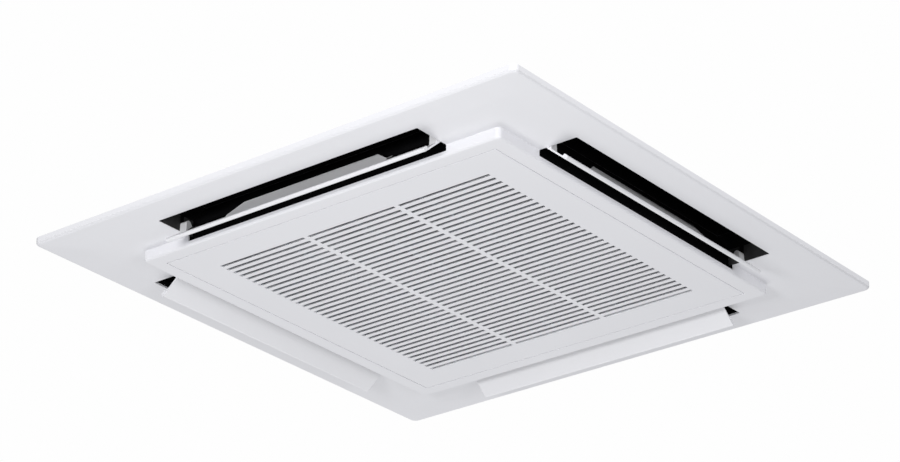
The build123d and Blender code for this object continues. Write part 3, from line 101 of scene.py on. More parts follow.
# the fan, the faces that the screws sit on, and the ceiling's board
FAN_RADIUS, SHAFT_RADIUS, BLADES, BLADE_INNER = 235.0, 6.05, 7, 168
TOP_PLATE, CONTROL_COVER = 285.2, -2.0
CEILING_CUT, CEILING_REACH, CEILING_BOARD = 440, 60000, 12
SIDES = ["right", "rear", "left", "front"]


def place(x, y, up):
    """A point of the frame from millimetres and a height above the ceiling's lower surface."""
    return Vector((x, y, up + CEILING)) / 1000


# ---------------------------------------------------------------- mesh tools
def mesh_piece(name, points, faces):
    """A new object with a mesh of these points and faces."""
    mesh = bpy.data.meshes.new(name)
    mesh.from_pydata([tuple(p) for p in points], [], faces)
    piece = bpy.data.objects.new(name, mesh)
    bpy.context.scene.collection.objects.link(piece)
    return piece


def rounded_square(half, radius, up, steps=8, half_y=None):
    """A level loop with rounded corners, oblong where half_y is given."""
    half_y = half_y or half
    loop = []
    for quarter, (sx, sy) in enumerate(((1, 1), (-1, 1), (-1, -1), (1, -1))):
        x, y = sx * (half - radius), sy * (half_y - radius)
        for k in range(steps + 1):
            a = math.radians(90 * quarter + 90 * k / steps)
            loop.append(place(x + radius * math.cos(a), y + radius * math.sin(a), up))
    return loop


def loft(name, loops, closed):
    """Skin over loops of equal count: a ring of loops when closed, otherwise with both ends filled."""
    count = len(loops[0])
    points = [p for loop in loops for p in loop]
    faces = []
    last = len(loops) if closed else len(loops) - 1
    for i in range(last):
        j = (i + 1) % len(loops)
        for k in range(count):
            m = (k + 1) % count
            faces.append((i * count + k, i * count + m, j * count + m, j * count + k))
    if not closed:
        faces.append(tuple(reversed(range(count))))
        faces.append(tuple((len(loops) - 1) * count + k for k in range(count)))
    piece = mesh_piece(name, points, faces)
    outward(piece)
    return piece


def outward(piece):
    """Face normals of a closed shell point out of it."""
    shell = bmesh.new()
    shell.from_mesh(piece.data)
    bmesh.ops.recalc_face_normals(shell, faces=shell.faces)
    shell.to_mesh(piece.data)
    shell.free()


def arc(centre, radius, start, end, steps):
    """Points of an arc in a section, angles in degrees."""
    turns = [math.radians(start + (end - start) * k / steps) for k in range(steps + 1)]
    return [(centre[0] + radius * math.cos(t), centre[1] + radius * math.sin(t)) for t in turns]


def bow(a, middle, b, steps):
    """A smooth bend from a to b through the middle point."""
    control = [2 * middle[i] - (a[i] + b[i]) / 2 for i in range(2)]

    def at(t, i):
        return (1 - t) ** 2 * a[i] + 2 * t * (1 - t) * control[i] + t * t * b[i]

    return [(at(k / steps, 0), at(k / steps, 1)) for k in range(steps + 1)]


def settle(piece):
    """Turns what the modifiers show into the piece's own mesh."""
    shown = piece.evaluated_get(bpy.context.evaluated_depsgraph_get())
    mesh = bpy.data.meshes.new_from_object(shown)
    piece.modifiers.clear()
    old = piece.data
    piece.data = mesh
    bpy.data.meshes.remove(old)
    return piece


def carve(piece, tool, operation="DIFFERENCE"):
    """Cuts a tool out of a piece, or adds it with UNION, and removes the tool."""
    change = piece.modifiers.new("carve", "BOOLEAN")
    change.operation = operation
    change.solver = "EXACT"
    change.object = tool
    settle(piece)
    bpy.data.objects.remove(tool)
    return piece


def soften(piece, width=0.5, steps=2, angle=32):
    """Small rounded edges, then smooth shading that stays crisp at the corners."""
    edge = piece.modifiers.new("edges", "BEVEL")
    edge.width = width / 1000
    edge.segments = steps
    edge.limit_method = "ANGLE"
    edge.angle_limit = math.radians(angle)
    edge.use_clamp_overlap = True
    edge.miter_outer = "MITER_ARC"
    settle(piece)
    return smooth(piece, angle)


def smooth(piece, angle=32):
    """Smooth shading that stays flat on flat faces and crisp at corners."""
    piece.data.shade_smooth()
    piece.data.set_sharp_from_angle(angle=math.radians(angle))
    even = piece.modifiers.new("even", "WEIGHTED_NORMAL")
    even.keep_sharp = True
    even.weight = 100
    return settle(piece)


def block(name, low, high):
    """A plain block between its low and its high corner."""
    (x0, y0, z0), (x1, y1, z1) = low, high
    corners = ((x0, y0), (x1, y0), (x1, y1), (x0, y1))
    return loft(name, [[place(x, y, up) for x, y in corners] for up in (z0, z1)], False)


def rod(name, a, b, radius, steps=32, chamfer=0.0):
    """A round rod between two points, with a chamfer at its ends where one is given."""
    a, b = place(*a), place(*b)
    along = (b - a).normalized()
    side = along.orthogonal().normalized()
    up = along.cross(side)
    chamfer /= 1000
    stations = [(a, -chamfer), (b, -chamfer)]
    if chamfer:
        stations[1:1] = [(a + along * chamfer, 0), (b - along * chamfer, 0)]
    loops = []
    turns = [math.tau * k / steps for k in range(steps)]
    for point, shrink in stations:
        r = radius / 1000 + shrink
        loops.append([point + (side * math.cos(t) + up * math.sin(t)) * r for t in turns])
    return loft(name, loops, False)


def turned_shell(name, section, steps=96):
    """A closed section of radius and height, turned about the upright centre line."""
    loops = []
    for k in range(steps):
        a = math.tau * k / steps
        loops.append([place(r * math.cos(a), r * math.sin(a), up) for r, up in section])
    return loft(name, loops, True)


def joined(name, pieces):
    """One piece from several shells, each left as it is."""
    whole = bmesh.new()
    for piece in pieces:
        whole.from_mesh(piece.data)
        bpy.data.objects.remove(piece)
    mesh = bpy.data.meshes.new(name)
    whole.to_mesh(mesh)
    whole.free()
    result = bpy.data.objects.new(name, mesh)
    bpy.context.scene.collection.objects.link(result)
    return result


def quarter_turn(piece, name, side):
    """A copy of a piece of the +X side, turned to another side, with its place in its mesh."""
    copy = bpy.data.objects.new(name, piece.data.copy())
    copy.data.transform(Matrix.Rotation(math.radians(90 * side), 4, "Z"))
    bpy.context.scene.collection.objects.link(copy)
    return copy


# ---------------------------------------------------------------- repeated pieces, with Geometry Nodes
class Recipe:
    """A Geometry Nodes tree whose sizes are named inputs."""

    def __init__(self, name, **sizes):
        self.tree = bpy.data.node_groups.new(name, "GeometryNodeTree")
        face = self.tree.interface
        face.new_socket("Piece", in_out="INPUT", socket_type="NodeSocketGeometry")
        face.new_socket("Piece", in_out="OUTPUT", socket_type="NodeSocketGeometry")
        self.sizes = []
        kinds = {int: "NodeSocketInt", float: "NodeSocketFloat", tuple: "NodeSocketVector"}
        for label, value in sizes.items():
            socket = face.new_socket(label, in_out="INPUT", socket_type=kinds[type(value)])
            self.sizes.append((socket.identifier, value))
        self.given = self.tree.nodes.new("NodeGroupInput")
        self.piece = self.given.outputs["Piece"]

    def __getitem__(self, label):
        return self.given.outputs[label]

    def add(self, kind, values=None, settings=None, out=0):
        """Adds a node: its settings first, then its sockets by name or number."""
        node = self.tree.nodes.new(kind)
        for key, value in (settings or {}).items():
            setattr(node, key, value)
        for key, value in (values or {}).items():
            for one in value if isinstance(value, list) else [value]:
                if isinstance(one, bpy.types.NodeSocket):
                    self.tree.links.new(one, node.inputs[key])
                else:
                    node.inputs[key].default_value = one
        return node.outputs[out]

    def run(self, seed_piece, name, geometry, finish):
        """Ends the tree, runs it on a piece and gives back a plain mesh."""
        whole = self.add("GeometryNodeRealizeInstances", {"Geometry": geometry})
        coated = self.add("GeometryNodeSetMaterial", {"Geometry": whole, "Material": finish})
        result = self.tree.nodes.new("NodeGroupOutput")
        self.tree.links.new(coated, result.inputs[0])
        seed_piece.name = name
        change = seed_piece.modifiers.new("repeat", "NODES")
        change.node_group = self.tree
        for identifier, value in self.sizes:
            change[identifier] = value
        return settle(seed_piece)


def repeated(piece, name, finish, count, pitch, start):
    """Copies of a piece along a straight line."""
    pitch, start = (tuple(v / 1000 for v in vector) for vector in (pitch, start))
    recipe = Recipe(name + " row", Count=count, Pitch=pitch, Start=start)
    line = recipe.add(
        "GeometryNodeMeshLine",
        {"Count": recipe["Count"], "Start Location": recipe["Start"], "Offset": recipe["Pitch"]},
        {"mode": "OFFSET"},
    )
    copies = recipe.add("GeometryNodeInstanceOnPoints", {"Points": line, "Instance": recipe.piece})
    return recipe.run(piece, name, copies, finish)


def on_grids(piece, name, finish, grids, up):
    """Copies of a piece on the four corners of each grid, given as full width, full depth and centre."""
    sizes = {}
    for k, (width, depth, x, y) in enumerate(grids):
        sizes[f"Width {k}"], sizes[f"Depth {k}"] = width / 1000, depth / 1000
        sizes[f"Centre {k}"] = (x / 1000, y / 1000, up / 1000)
    recipe = Recipe(name + " grid", **sizes)
    places = []
    for k in range(len(grids)):
        spans = {"Size X": recipe[f"Width {k}"], "Size Y": recipe[f"Depth {k}"]}
        grid = recipe.add("GeometryNodeMeshGrid", {**spans, "Vertices X": 2, "Vertices Y": 2})
        moved = {"Geometry": grid, "Translation": recipe[f"Centre {k}"]}
        places.append(recipe.add("GeometryNodeTransform", moved))
    points = recipe.add("GeometryNodeJoinGeometry", {"Geometry": places})
    copies = recipe.add("GeometryNodeInstanceOnPoints", {"Points": points, "Instance": recipe.piece})
    return recipe.run(piece, name, copies, finish)


# ---------------------------------------------------------------- finishes
class Signal:
    """A shader socket that takes part in Python arithmetic."""

    def __init__(self, finish, socket):
        self.finish = finish
        self.socket = socket

    def maths(self, operation, other, clamp=False):
        """This signal and another one or a number, through a maths node."""
        node = self.finish.tree.nodes.new("ShaderNodeMath")
        node.operation = operation
        node.use_clamp = clamp
        for slot, value in zip(node.inputs, (self, other)):
            if isinstance(value, Signal):
                self.finish.tree.links.new(value.socket, slot)
            else:
                slot.default_value = value
        return Signal(self.finish, node.outputs[0])

    def __add__(self, other):
        return self.maths("ADD", other)

    def __mul__(self, other):
        return self.maths("MULTIPLY", other)

    __radd__ = __add__
    __rmul__ = __mul__

    def clipped(self):
        """The same signal, held between 0 and 1."""
        return self.maths("ADD", 0.0, clamp=True)


class Finish:
    """A procedural material on Object coordinates."""

    def __init__(self, name, colour, roughness, metallic=0.0, **fixed):
        self.material = bpy.data.materials.new(name)
        self.material.use_nodes = True
        self.tree = self.material.node_tree
        self.shader = self.tree.nodes["Principled BSDF"]
        self.set("Base Color", (*colour, 1.0))
        self.set("Roughness", roughness)
        self.set("Metallic", metallic)
        for key, value in fixed.items():
            self.set(key.replace("_", " "), value)
        self.here = self.add("ShaderNodeTexCoord", out="Object")

    def add(self, kind, values=None, settings=None, out=0):
        """Adds a node: its settings first, then its sockets by name or number."""
        node = self.tree.nodes.new(kind)
        for key, value in (settings or {}).items():
            setattr(node, key, value)
        for key, value in (values or {}).items():
            if isinstance(value, Signal):
                self.tree.links.new(value.socket, node.inputs[key])
            else:
                node.inputs[key].default_value = value
        return Signal(self, node.outputs[out])

    def set(self, socket, value):
        """Gives one of the shader's sockets a value or a signal."""
        if isinstance(value, Signal):
            self.tree.links.new(value.socket, self.shader.inputs[socket])
        else:
            self.shader.inputs[socket].default_value = value

    def stretched(self, scale):
        """The piece's own coordinates, scaled apart along their axes."""
        return self.add("ShaderNodeMapping", {"Vector": self.here, "Scale": scale})

    def noise(self, scale, detail=3.0, rough=0.5, at=None):
        """Cloudy noise from 0 to 1."""
        values = {"Vector": at or self.here, "Scale": scale, "Detail": detail, "Roughness": rough}
        return self.add("ShaderNodeTexNoise", values, out="Fac")

    def cell_edges(self, scale):
        """Distance to the nearest edge between cells."""
        values = {"Vector": self.here, "Scale": scale}
        return self.add("ShaderNodeTexVoronoi", values, {"feature": "DISTANCE_TO_EDGE"}, "Distance")

    def ramp(self, signal, low, high, a=0.0, b=1.0):
        """Maps a range of a signal onto another range."""
        values = {"Value": signal, "From Min": low, "From Max": high, "To Min": a, "To Max": b}
        return self.add("ShaderNodeMapRange", values)

    def tint(self, amount, a, b):
        """A colour between two, by a signal."""
        node = self.tree.nodes.new("ShaderNodeMix")
        node.data_type = "RGBA"
        for slot, value in ((0, amount), (6, a), (7, b)):
            if isinstance(value, Signal):
                self.tree.links.new(value.socket, node.inputs[slot])
            else:
                node.inputs[slot].default_value = (*value, 1.0) if isinstance(value, tuple) else value
        return Signal(self, node.outputs[2])

    def relief(self, height, strength, distance=0.0005):
        """A bump from a signal into the shader's normal."""
        values = {"Height": height, "Strength": strength, "Distance": distance}
        self.set("Normal", self.add("ShaderNodeBump", values))


def moulded_plastic(name, colour, roughness=0.42, grain=0.05, drift=0.02):
    """Satin moulded plastic: fine pebble grain, faint unevenness of colour and sheen."""
    f = Finish(name, colour, roughness, Specular_IOR_Level=0.45)
    broad = f.noise(3.0, 2.0)
    fine = f.noise(1400.0, 2.0)
    darker = tuple(c * (1 - drift) for c in colour)
    f.set("Base Color", f.tint(f.ramp(broad, 0.35, 0.65), darker, colour))
    f.set("Roughness", f.ramp(f.noise(18.0, 4.0), 0.3, 0.7, roughness - 0.04, roughness + 0.05))
    f.relief(fine, grain, 0.0003)
    return f.material


def rolled_zinc(name, colour):
    """Galvanised sheet: crystals of different brightness, a brushed roll direction and dull patches."""
    f = Finish(name, colour, 0.38, 0.85)
    bent = f.noise(30.0, 3.0)
    warped = f.add("ShaderNodeVectorMath", {0: f.here, 1: (0.011, 0.007, 0.009)}, {"operation": "ADD"})
    crystal = f.add("ShaderNodeTexVoronoi", {"Vector": warped, "Scale": 95.0}, {"feature": "F1"}, "Color")
    grey = f.add("ShaderNodeSeparateColor", {0: crystal})
    streak = f.noise(60.0, 4.0, at=f.stretched((1.0, 1.0, 14.0)))
    amount = (grey * 0.6 + streak * 0.4).clipped()
    dull, bright = (tuple(min(1.0, c * share) for c in colour) for share in (0.74, 1.12))
    f.set("Base Color", f.tint(amount, dull, bright))
    f.set("Roughness", f.ramp(grey * 0.5 + bent * 0.5, 0.2, 0.8, 0.26, 0.52))
    f.relief(grey + streak * 0.5, 0.08, 0.0002)
    return f.material


def foam(name, colour, bead=0.0, depth=0.18):
    """Foam: moulded beads where bead is a cell count per metre, otherwise fine pores."""
    f = Finish(name, colour, 0.93, Specular_IOR_Level=0.2)
    pore = f.noise(700.0, 4.0, 0.7)
    dark = tuple(c * (1 - depth) for c in colour)
    if bead:
        edge = f.cell_edges(bead)
        seam = f.ramp(edge, 0.0, 0.12)
        f.set("Base Color", f.tint((seam * 0.75 + pore * 0.25).clipped(), dark, colour))
        f.relief(seam + pore * 0.3, 0.35, 0.0006)
    else:
        f.set("Base Color", f.tint(f.ramp(pore, 0.3, 0.7), dark, colour))
        f.relief(pore, 0.35, 0.0006)
    return f.material


def flocked_black(name):
    """Black insulation skin inside the air channels, slightly fuzzy and dusty."""
    f = Finish(name, (0.006, 0.006, 0.007), 0.95, Specular_IOR_Level=0.04)
    fuzz = f.noise(900.0, 4.0, 0.7)
    dust = f.noise(14.0, 3.0)
    amount = f.ramp(fuzz * 0.6 + dust * 0.4, 0.35, 0.75)
    f.set("Base Color", f.tint(amount, (0.003, 0.003, 0.0035), (0.010, 0.010, 0.011)))
    f.relief(fuzz, 0.5, 0.0005)
    return f.material


def drawn_metal(name, colour, roughness, axis_scale, tarnish=None):
    """Bare metal with fine draw lines, and tarnish where a colour is given."""
    f = Finish(name, colour, roughness, 1.0)
    lines = f.noise(120.0, 4.0, at=f.stretched(axis_scale))
    cloud = f.noise(22.0, 4.0, 0.6)
    shade = tarnish or tuple(c * 0.72 for c in colour)
    f.set("Base Color", f.tint(f.ramp(cloud * 0.7 + lines * 0.3, 0.3, 0.75), shade, colour))
    f.set("Roughness", f.ramp(lines, 0.2, 0.8, roughness - 0.07, roughness + 0.1))
    f.relief(lines, 0.1, 0.0001)
    return f.material


def painted(name, colour, roughness=0.4):
    """Sprayed paint with a slight orange peel and scuffs."""
    f = Finish(name, colour, roughness, Coat_Weight=0.15, Coat_Roughness=0.3)
    peel = f.noise(420.0, 2.0)
    scuff = f.ramp(f.noise(35.0, 6.0, 0.7), 0.62, 0.75)
    scuffed = tuple(min(1.0, c * 1.6 + 0.03) for c in colour)
    f.set("Base Color", f.tint(scuff * 0.35, colour, scuffed))
    f.set("Roughness", f.ramp(scuff, 0.0, 1.0, roughness, roughness + 0.18))
    f.relief(peel, 0.12, 0.0004)
    return f.material


def rubbery(name, colour, roughness=0.75):
    """Rubber or soft vinyl with a pale bloom."""
    f = Finish(name, colour, roughness, Specular_IOR_Level=0.3)
    bloom = f.noise(28.0, 4.0, 0.6)
    bloomed = tuple(min(1.0, c * 1.5 + 0.02) for c in colour)
    f.set("Base Color", f.tint(f.ramp(bloom, 0.35, 0.75), colour, bloomed))
    f.set("Roughness", f.ramp(bloom, 0.3, 0.7, roughness - 0.08, roughness + 0.1))
    f.relief(f.noise(800.0, 3.0), 0.15, 0.0003)
    return f.material


def printed_board(name):
    """Green board with copper tracks under the lacquer."""
    f = Finish(name, (0.05, 0.22, 0.10), 0.35, Coat_Weight=0.4, Coat_Roughness=0.15)
    tracks = f.ramp(f.cell_edges(160.0), 0.05, 0.09)
    f.set("Base Color", f.tint(tracks, (0.10, 0.36, 0.16), (0.04, 0.20, 0.09)))
    f.relief(tracks, 0.2, 0.0002)
    return f.material


def fin_pack(name):
    """Edges of thin aluminium fins."""
    f = Finish(name, (0.80, 0.82, 0.84), 0.32, 0.9)
    cloud = f.noise(9.0, 4.0, 0.6)
    fine = f.noise(700.0, 2.0)
    f.set("Base Color", f.tint(f.ramp(cloud, 0.3, 0.7), (0.68, 0.70, 0.73), (0.84, 0.86, 0.88)))
    f.set("Roughness", f.ramp(fine, 0.3, 0.7, 0.25, 0.42))
    return f.material


FINISHES = {
    "panel_white_plastic": moulded_plastic("panel white", (0.83, 0.83, 0.86), 0.45),
    "vane_white_plastic": moulded_plastic("vane white", (0.84, 0.84, 0.865), 0.40, grain=0.03),
    "black_liner_foam": flocked_black("black channel lining"),
    "seal_foam": foam("dark seal foam", (0.10, 0.10, 0.11)),
    "grey_plastic": moulded_plastic("grey moulding", (0.40, 0.41, 0.42), 0.5, drift=0.08),
    "filter_plastic": moulded_plastic("filter frame grey", (0.30, 0.32, 0.35), 0.5, drift=0.08),
    "filter_net": moulded_plastic("filter thread", (0.24, 0.26, 0.29), 0.6, drift=0.12),
    "galvanised_steel": rolled_zinc("galvanised sheet", (0.66, 0.68, 0.70)),
    "pin_steel": drawn_metal("plated steel", (0.62, 0.63, 0.64), 0.3, (1, 1, 9)),
    "white_foam": foam("white bead foam", (0.86, 0.86, 0.84), bead=260.0, depth=0.12),
    "grey_foam": foam("grey sheet foam", (0.27, 0.28, 0.29)),
    "fan_plastic": moulded_plastic("fan plastic", (0.74, 0.75, 0.76), 0.5, drift=0.05),
    "motor_paint": painted("motor paint", (0.055, 0.058, 0.062)),
    "mount_rubber": rubbery("black rubber", (0.025, 0.025, 0.026)),
    "fin_aluminium": fin_pack("fin aluminium"),
    "copper_tube": drawn_metal("drawn copper", (0.80, 0.42, 0.27), 0.28, (12, 1, 1), (0.50, 0.23, 0.14)),
    "brass_fitting": drawn_metal("turned brass", (0.80, 0.62, 0.30), 0.25, (9, 1, 1), (0.52, 0.37, 0.16)),
    "board_green": printed_board("circuit board green"),
    "terminal_plastic": moulded_plastic("cream moulding", (0.78, 0.77, 0.70), 0.5, drift=0.05),
    "hose_vinyl": rubbery("grey vinyl hose", (0.52, 0.54, 0.54), 0.4),
    "float_plastic": moulded_plastic("ivory moulding", (0.80, 0.77, 0.66), 0.5, drift=0.05),
}
slot_of = {part["node"]: part["material_slot"] for part in frame["record"]["subparts"]}


def dress(piece, body, slot_name, *stands_for):
    """Gives a finished piece its material, its body and the nodes it stands for."""
    piece.data.materials.clear()
    piece.data.materials.append(FINISHES[slot_name])
    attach(piece, body)
    if stands_for:
        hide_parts(*stands_for)
    return piece


# ---------------------------------------------------------------- decoration panel
def panel_section():
    """Closed section of the panel from its rim to the collar, as half-width, corner radius and height."""
    drop, run = BAND + RIM_HEIGHT, PANEL_HALF - SLOT_OUTER
    tilt = math.atan2(-drop, run)
    centre = (PANEL_HALF - RIM_ROUND, -RIM_HEIGHT + RIM_ROUND * (1 - math.sin(tilt)) / math.cos(tilt))
    outer = [(h, PANEL_CORNER, z) for h, z in arc(centre, RIM_ROUND, 0, -90 + math.degrees(tilt), 10)]
    foot = arc((CENTRE_HALF + CENTRE_FOOT, BAND - CENTRE_FOOT), CENTRE_FOOT, 90, 180, 3)
    under = (CENTRE_HALF - CENTRE_ROUND, FACE + CENTRE_ROUND)
    nose = [(h, h - CENTRE_HALF + CENTRE_CORNER, z) for h, z in arc(under, CENTRE_ROUND, 0, -90, 8)]
    back = CENTRE_HALF - SKIN
    return [
        (PANEL_HALF, PANEL_CORNER, 0),
        *outer,
        (SLOT_OUTER + MARGIN_BEND, PANEL_CORNER, BAND + MARGIN_LIFT),
        (SLOT_OUTER - MARGIN_BEND, PANEL_CORNER, BAND),
        (CENTRE_HALF + CENTRE_FOOT, CENTRE_CORNER + CENTRE_FOOT, BAND),
        *[(h, CENTRE_CORNER + h - CENTRE_HALF, z) for h, z in foot[1:]],
        *nose,
        (OPENING_HALF + SEAM_EASE, 1.6, FACE),
        (OPENING_HALF + SEAM_MIDDLE, 1.2, FACE + SEAM_MIDDLE),
        (OPENING_HALF, 1.0, FACE + SEAM_EASE),
        (OPENING_HALF, 1.0, FACE + SKIN),
        (COLLAR_IN, 1.0, FACE + SKIN),
        (COLLAR_IN, 1.0, COLLAR_TOP),
        (COLLAR_OUT, 1.5, COLLAR_TOP),
        (COLLAR_OUT, 1.5, FACE + SKIN),
        (back, CENTRE_CORNER - SKIN, FACE + SKIN),
        (back, CENTRE_CORNER - SKIN, BAND + SKIN),
        (SLOT_OUTER, 4.0, BAND + SKIN),
        (PANEL_HALF - RIM_WALL, 4.0, SKIN - RIM_HEIGHT),
        (PANEL_HALF - RIM_WALL, 4.0, 0),
    ]


panel = loft("decoration_panel", [rounded_square(h, r, z, 10) for h, r, z in panel_section()], True)
to_slot = Vector(((SLOT_INNER + SLOT_OUTER) / 2 / 1000, 0, 0))
for side in range(4):
    turn = Matrix.Rotation(math.radians(90 * side), 3, "Z")
    slot_loops = []
    for up in (SLOT_WALL_TOP, SLOT_CUT_TOP):
        loop = rounded_square((SLOT_OUTER - SLOT_INNER) / 2, SLOT_CORNER, up, 4, SLOT_HALF)
        slot_loops.append([turn @ (p + to_slot) for p in loop])
    carve(panel, loft("slot", slot_loops, False))
for sx in (-1, 1):
    for sy in (-1, 1):
        x0, x1 = sorted((sx * (COLLAR_IN - SHELF), sx * (COLLAR_IN + 1.0)))
        y0, y1 = sorted((sy * (COLLAR_IN - SHELF), sy * (COLLAR_IN + 1.0)))
        shelf = block("shelf", (x0, y0, COLLAR_TOP - SHELF_PLATE), (x1, y1, COLLAR_TOP - HAIR))
        carve(panel, shelf, "UNION")
        at = (sx * (COLLAR_IN - SHELF_SCREW), sy * (COLLAR_IN - SHELF_SCREW))
        carve(panel, rod("screw hole", (*at, 20), (*at, 40), SHELF_HOLE))
soften(panel, 0.45)
dress(panel, "housing", "panel_white_plastic", "panel_frame")

# ---------------------------------------------------------------- intake grille
skirt = GRILLE_HALF - SKIRT_INSET
border_section = [
    (GRILLE_HALF - SEAM_EASE, 1.2, FACE),
    (GRILLE_HALF - SEAM_MIDDLE, 1.4, FACE + SEAM_MIDDLE),
    (GRILLE_HALF, 1.5, FACE + SEAM_EASE),
    (GRILLE_HALF, 1.5, FACE + GRILLE_PLATE),
    (skirt, 1.2, FACE + GRILLE_PLATE),
    (skirt, 1.2, SKIRT_TOP),
    (skirt - SKIRT_WALL, 0.6, SKIRT_TOP),
    (skirt - SKIRT_WALL, 0.6, FACE + GRILLE_PLATE),
    (FIELD_HALF + FIELD_WALL, 0.6, FACE + GRILLE_PLATE),
    (FIELD_HALF + FIELD_WALL, 0.6, FACE + BAR_DEPTH),
    (FIELD_HALF, 0.5, FACE + BAR_DEPTH),
    (FIELD_HALF, 0.5, FACE + BAR_EASE),
    (FIELD_HALF + 0.1, 0.6, FACE + 0.1),
    (FIELD_HALF + BAR_EASE, 0.8, FACE),
]
border = loft("grille_border", [rounded_square(h, r, z, 5) for h, r, z in border_section], True)
for x in (-HINGE_X, HINGE_X):
    low = (x - NOTCH_HALF, GRILLE_HALF - NOTCH_REACH, FACE + GRILLE_PLATE + HAIR)
    carve(border, block("notch", low, (x + NOTCH_HALF, GRILLE_HALF + NOTCH_REACH, 0)))


def slat(name, half_width, along_x):
    """A slat with eased lower edges: a flat cross rib along X, or a bar that narrows to a slim back."""
    lower = arc((half_width - BAR_EASE, FACE + BAR_EASE), BAR_EASE, -90, 0, 3)
    if along_x:
        lower = [(u, v + RIB_SETBACK) for u, v in lower]
        side = [(half_width, FACE + RIB_DEPTH)]
    else:
        side = [
            (half_width, FACE + BAR_SIDE),
            (half_width - BAR_UNDERCUT, FACE + BAR_SIDE + 1.0),
            (BAR_BACK, FACE + BAR_DEPTH),
        ]
    section = lower + side
    section += [(-u, v) for u, v in reversed(section)]
    ends = (-FIELD_HALF - BAR_LAP, FIELD_HALF + BAR_LAP)
    if along_x:
        return loft(name, [[place(end, u, v) for u, v in section] for end in ends], False)
    return loft(name, [[place(u, end, v) for u, v in section] for end in ends], False)


white_plastic = FINISHES["panel_white_plastic"]
bar = slat("bar", (SLIT_PITCH - SLIT_WIDTH) / 2, False)
first_bar = (-(SLITS - 2) / 2 * SLIT_PITCH, 0, 0)
bars = repeated(bar, "grille_bars", white_plastic, SLITS - 1, (SLIT_PITCH, 0, 0), first_bar)
cross_rib = slat("rib", RIB_WIDTH / 2, True)
ribs = repeated(cross_rib, "grille_ribs", white_plastic, 2, (0, 2 * RIB_AT, 0), (0, -RIB_AT, 0))


def hinge_lug(x0, x1):
    """A lug with the pin's hole, on the back of the grille."""
    outer, inner, steps = [], [], 24
    for k in range(steps):
        a = math.tau * k / steps
        c, s = math.cos(a), math.sin(a)
        reach = LUG_RADIUS
        if s < 0:  # below the pin the lug runs straight down, into the plate
            foot = (HINGE_Z - FACE - GRILLE_PLATE + LUG_SUNK) / abs(s)
            reach = min(1.0 / max(abs(c), 1e-6) * LUG_RADIUS, foot)
        outer.append((HINGE_Y + reach * c, HINGE_Z + reach * s))
        inner.append((HINGE_Y + LUG_BORE * c, HINGE_Z + LUG_BORE * s))
    rings = ((x0, outer), (x1, outer), (x1, inner), (x0, inner))
    return loft("ear", [[place(x, *p) for p in ring] for x, ring in rings], True)


lugs = []
for x in (-HINGE_X, HINGE_X):
    lugs.append(hinge_lug(x + LUG_NEAR, x + LUG_FAR))
    lugs.append(hinge_lug(x - LUG_FAR, x - LUG_NEAR))
grille = joined("intake_grille_front", [border, bars, ribs, *lugs])
smooth(grille, 35)
dress(grille, "grille", "panel_white_plastic", "intake_grille")

# ---------------------------------------------------------------- filter net
thread = rod("thread", (0, -NET_HALF_Y, 0), (0, NET_HALF_Y, 0), THREAD_RADIUS, 6)
thread.data.transform(Matrix.Translation(-place(0, 0, 0)))
net_half = SLIT_PITCH * (SLITS - 1) / 2 + NET_MARGIN
net_recipe = Recipe(
    "filter net",
    Threads=NET_THREADS,
    Across=2 * net_half / 1000,
    Depth=2 * NET_HALF_Y / 1000,
    Height=(NET_UP + CEILING) / 1000,
)


def thread_row(turn, length_scale, span):
    """Threads side by side over a span, scaled in length and turned about the upright axis."""
    half = net_recipe.add("ShaderNodeMath", {0: span, 1: 0.5}, {"operation": "MULTIPLY"})
    less = net_recipe.add("ShaderNodeMath", {0: half, 1: -1.0}, {"operation": "MULTIPLY"})
    start = net_recipe.add("ShaderNodeCombineXYZ", {"X": less, "Z": net_recipe["Height"]})
    end = net_recipe.add("ShaderNodeCombineXYZ", {"X": half, "Z": net_recipe["Height"]})
    spread = {"Count": net_recipe["Threads"], "Start Location": start, 3: end}
    line = net_recipe.add("GeometryNodeMeshLine", spread, {"mode": "END_POINTS"})
    threads = {"Points": line, "Instance": net_recipe.piece, "Scale": (1.0, length_scale, 1.0)}
    copies = net_recipe.add("GeometryNodeInstanceOnPoints", threads)
    return net_recipe.add("GeometryNodeTransform", {"Geometry": copies, "Rotation": (0, 0, turn)})


rows = [
    thread_row(0.0, 1.0, net_recipe["Across"]),
    thread_row(math.pi / 2, net_half / NET_HALF_Y, net_recipe["Depth"]),
]
crossed = net_recipe.add("GeometryNodeJoinGeometry", {"Geometry": rows})
net = net_recipe.run(thread, "filter_net", crossed, FINISHES["filter_net"])
dress(net, "grille", "filter_net", "filter_mesh")


# ---------------------------------------------------------------- outlet vanes
def vane_at(inward, up):
    """A point of the vane's section, from its lip when closed, turned to the photographed angle."""
    dx = LIP - inward - PIVOT[0]
    dz = BAND + up - PIVOT[1]
    a = math.radians(VANE_OPEN)
    return (PIVOT[0] + dx * math.cos(a) + dz * math.sin(a), PIVOT[1] - dx * math.sin(a) + dz * math.cos(a))


def along_side(name, stations):
    """Skin over sections of the +X side, each given with its distance along the side."""
    return loft(name, [[place(r, y, up) for r, up in section] for y, section in stations], False)


def fin_section(share):
    """Section of the guide fin with a share of its full reach from its foot, slightly hollow in front."""
    start = (FIN_FOOT, PLATE)
    run, rise = FIN_TIP[0] - start[0], FIN_TIP[1] - start[1]
    length = math.hypot(run, rise)
    tip = (start[0] + share * run, start[1] + share * rise)
    sag = FIN_SAG * share
    middle = ((start[0] + tip[0]) / 2 + sag * rise / length, (start[1] + tip[1]) / 2 - sag * run / length)
    back = (tip[0] + FIN_SHEET * rise / length, tip[1] - FIN_SHEET * run / length)
    front = bow(start, middle, tip, 6)
    outline = [(FIN_FOOT - 1.0, PLATE - 1.0), *front, back, (FIN_FOOT + 3.0, PLATE - 1.0)]
    return [vane_at(*p) for p in outline]


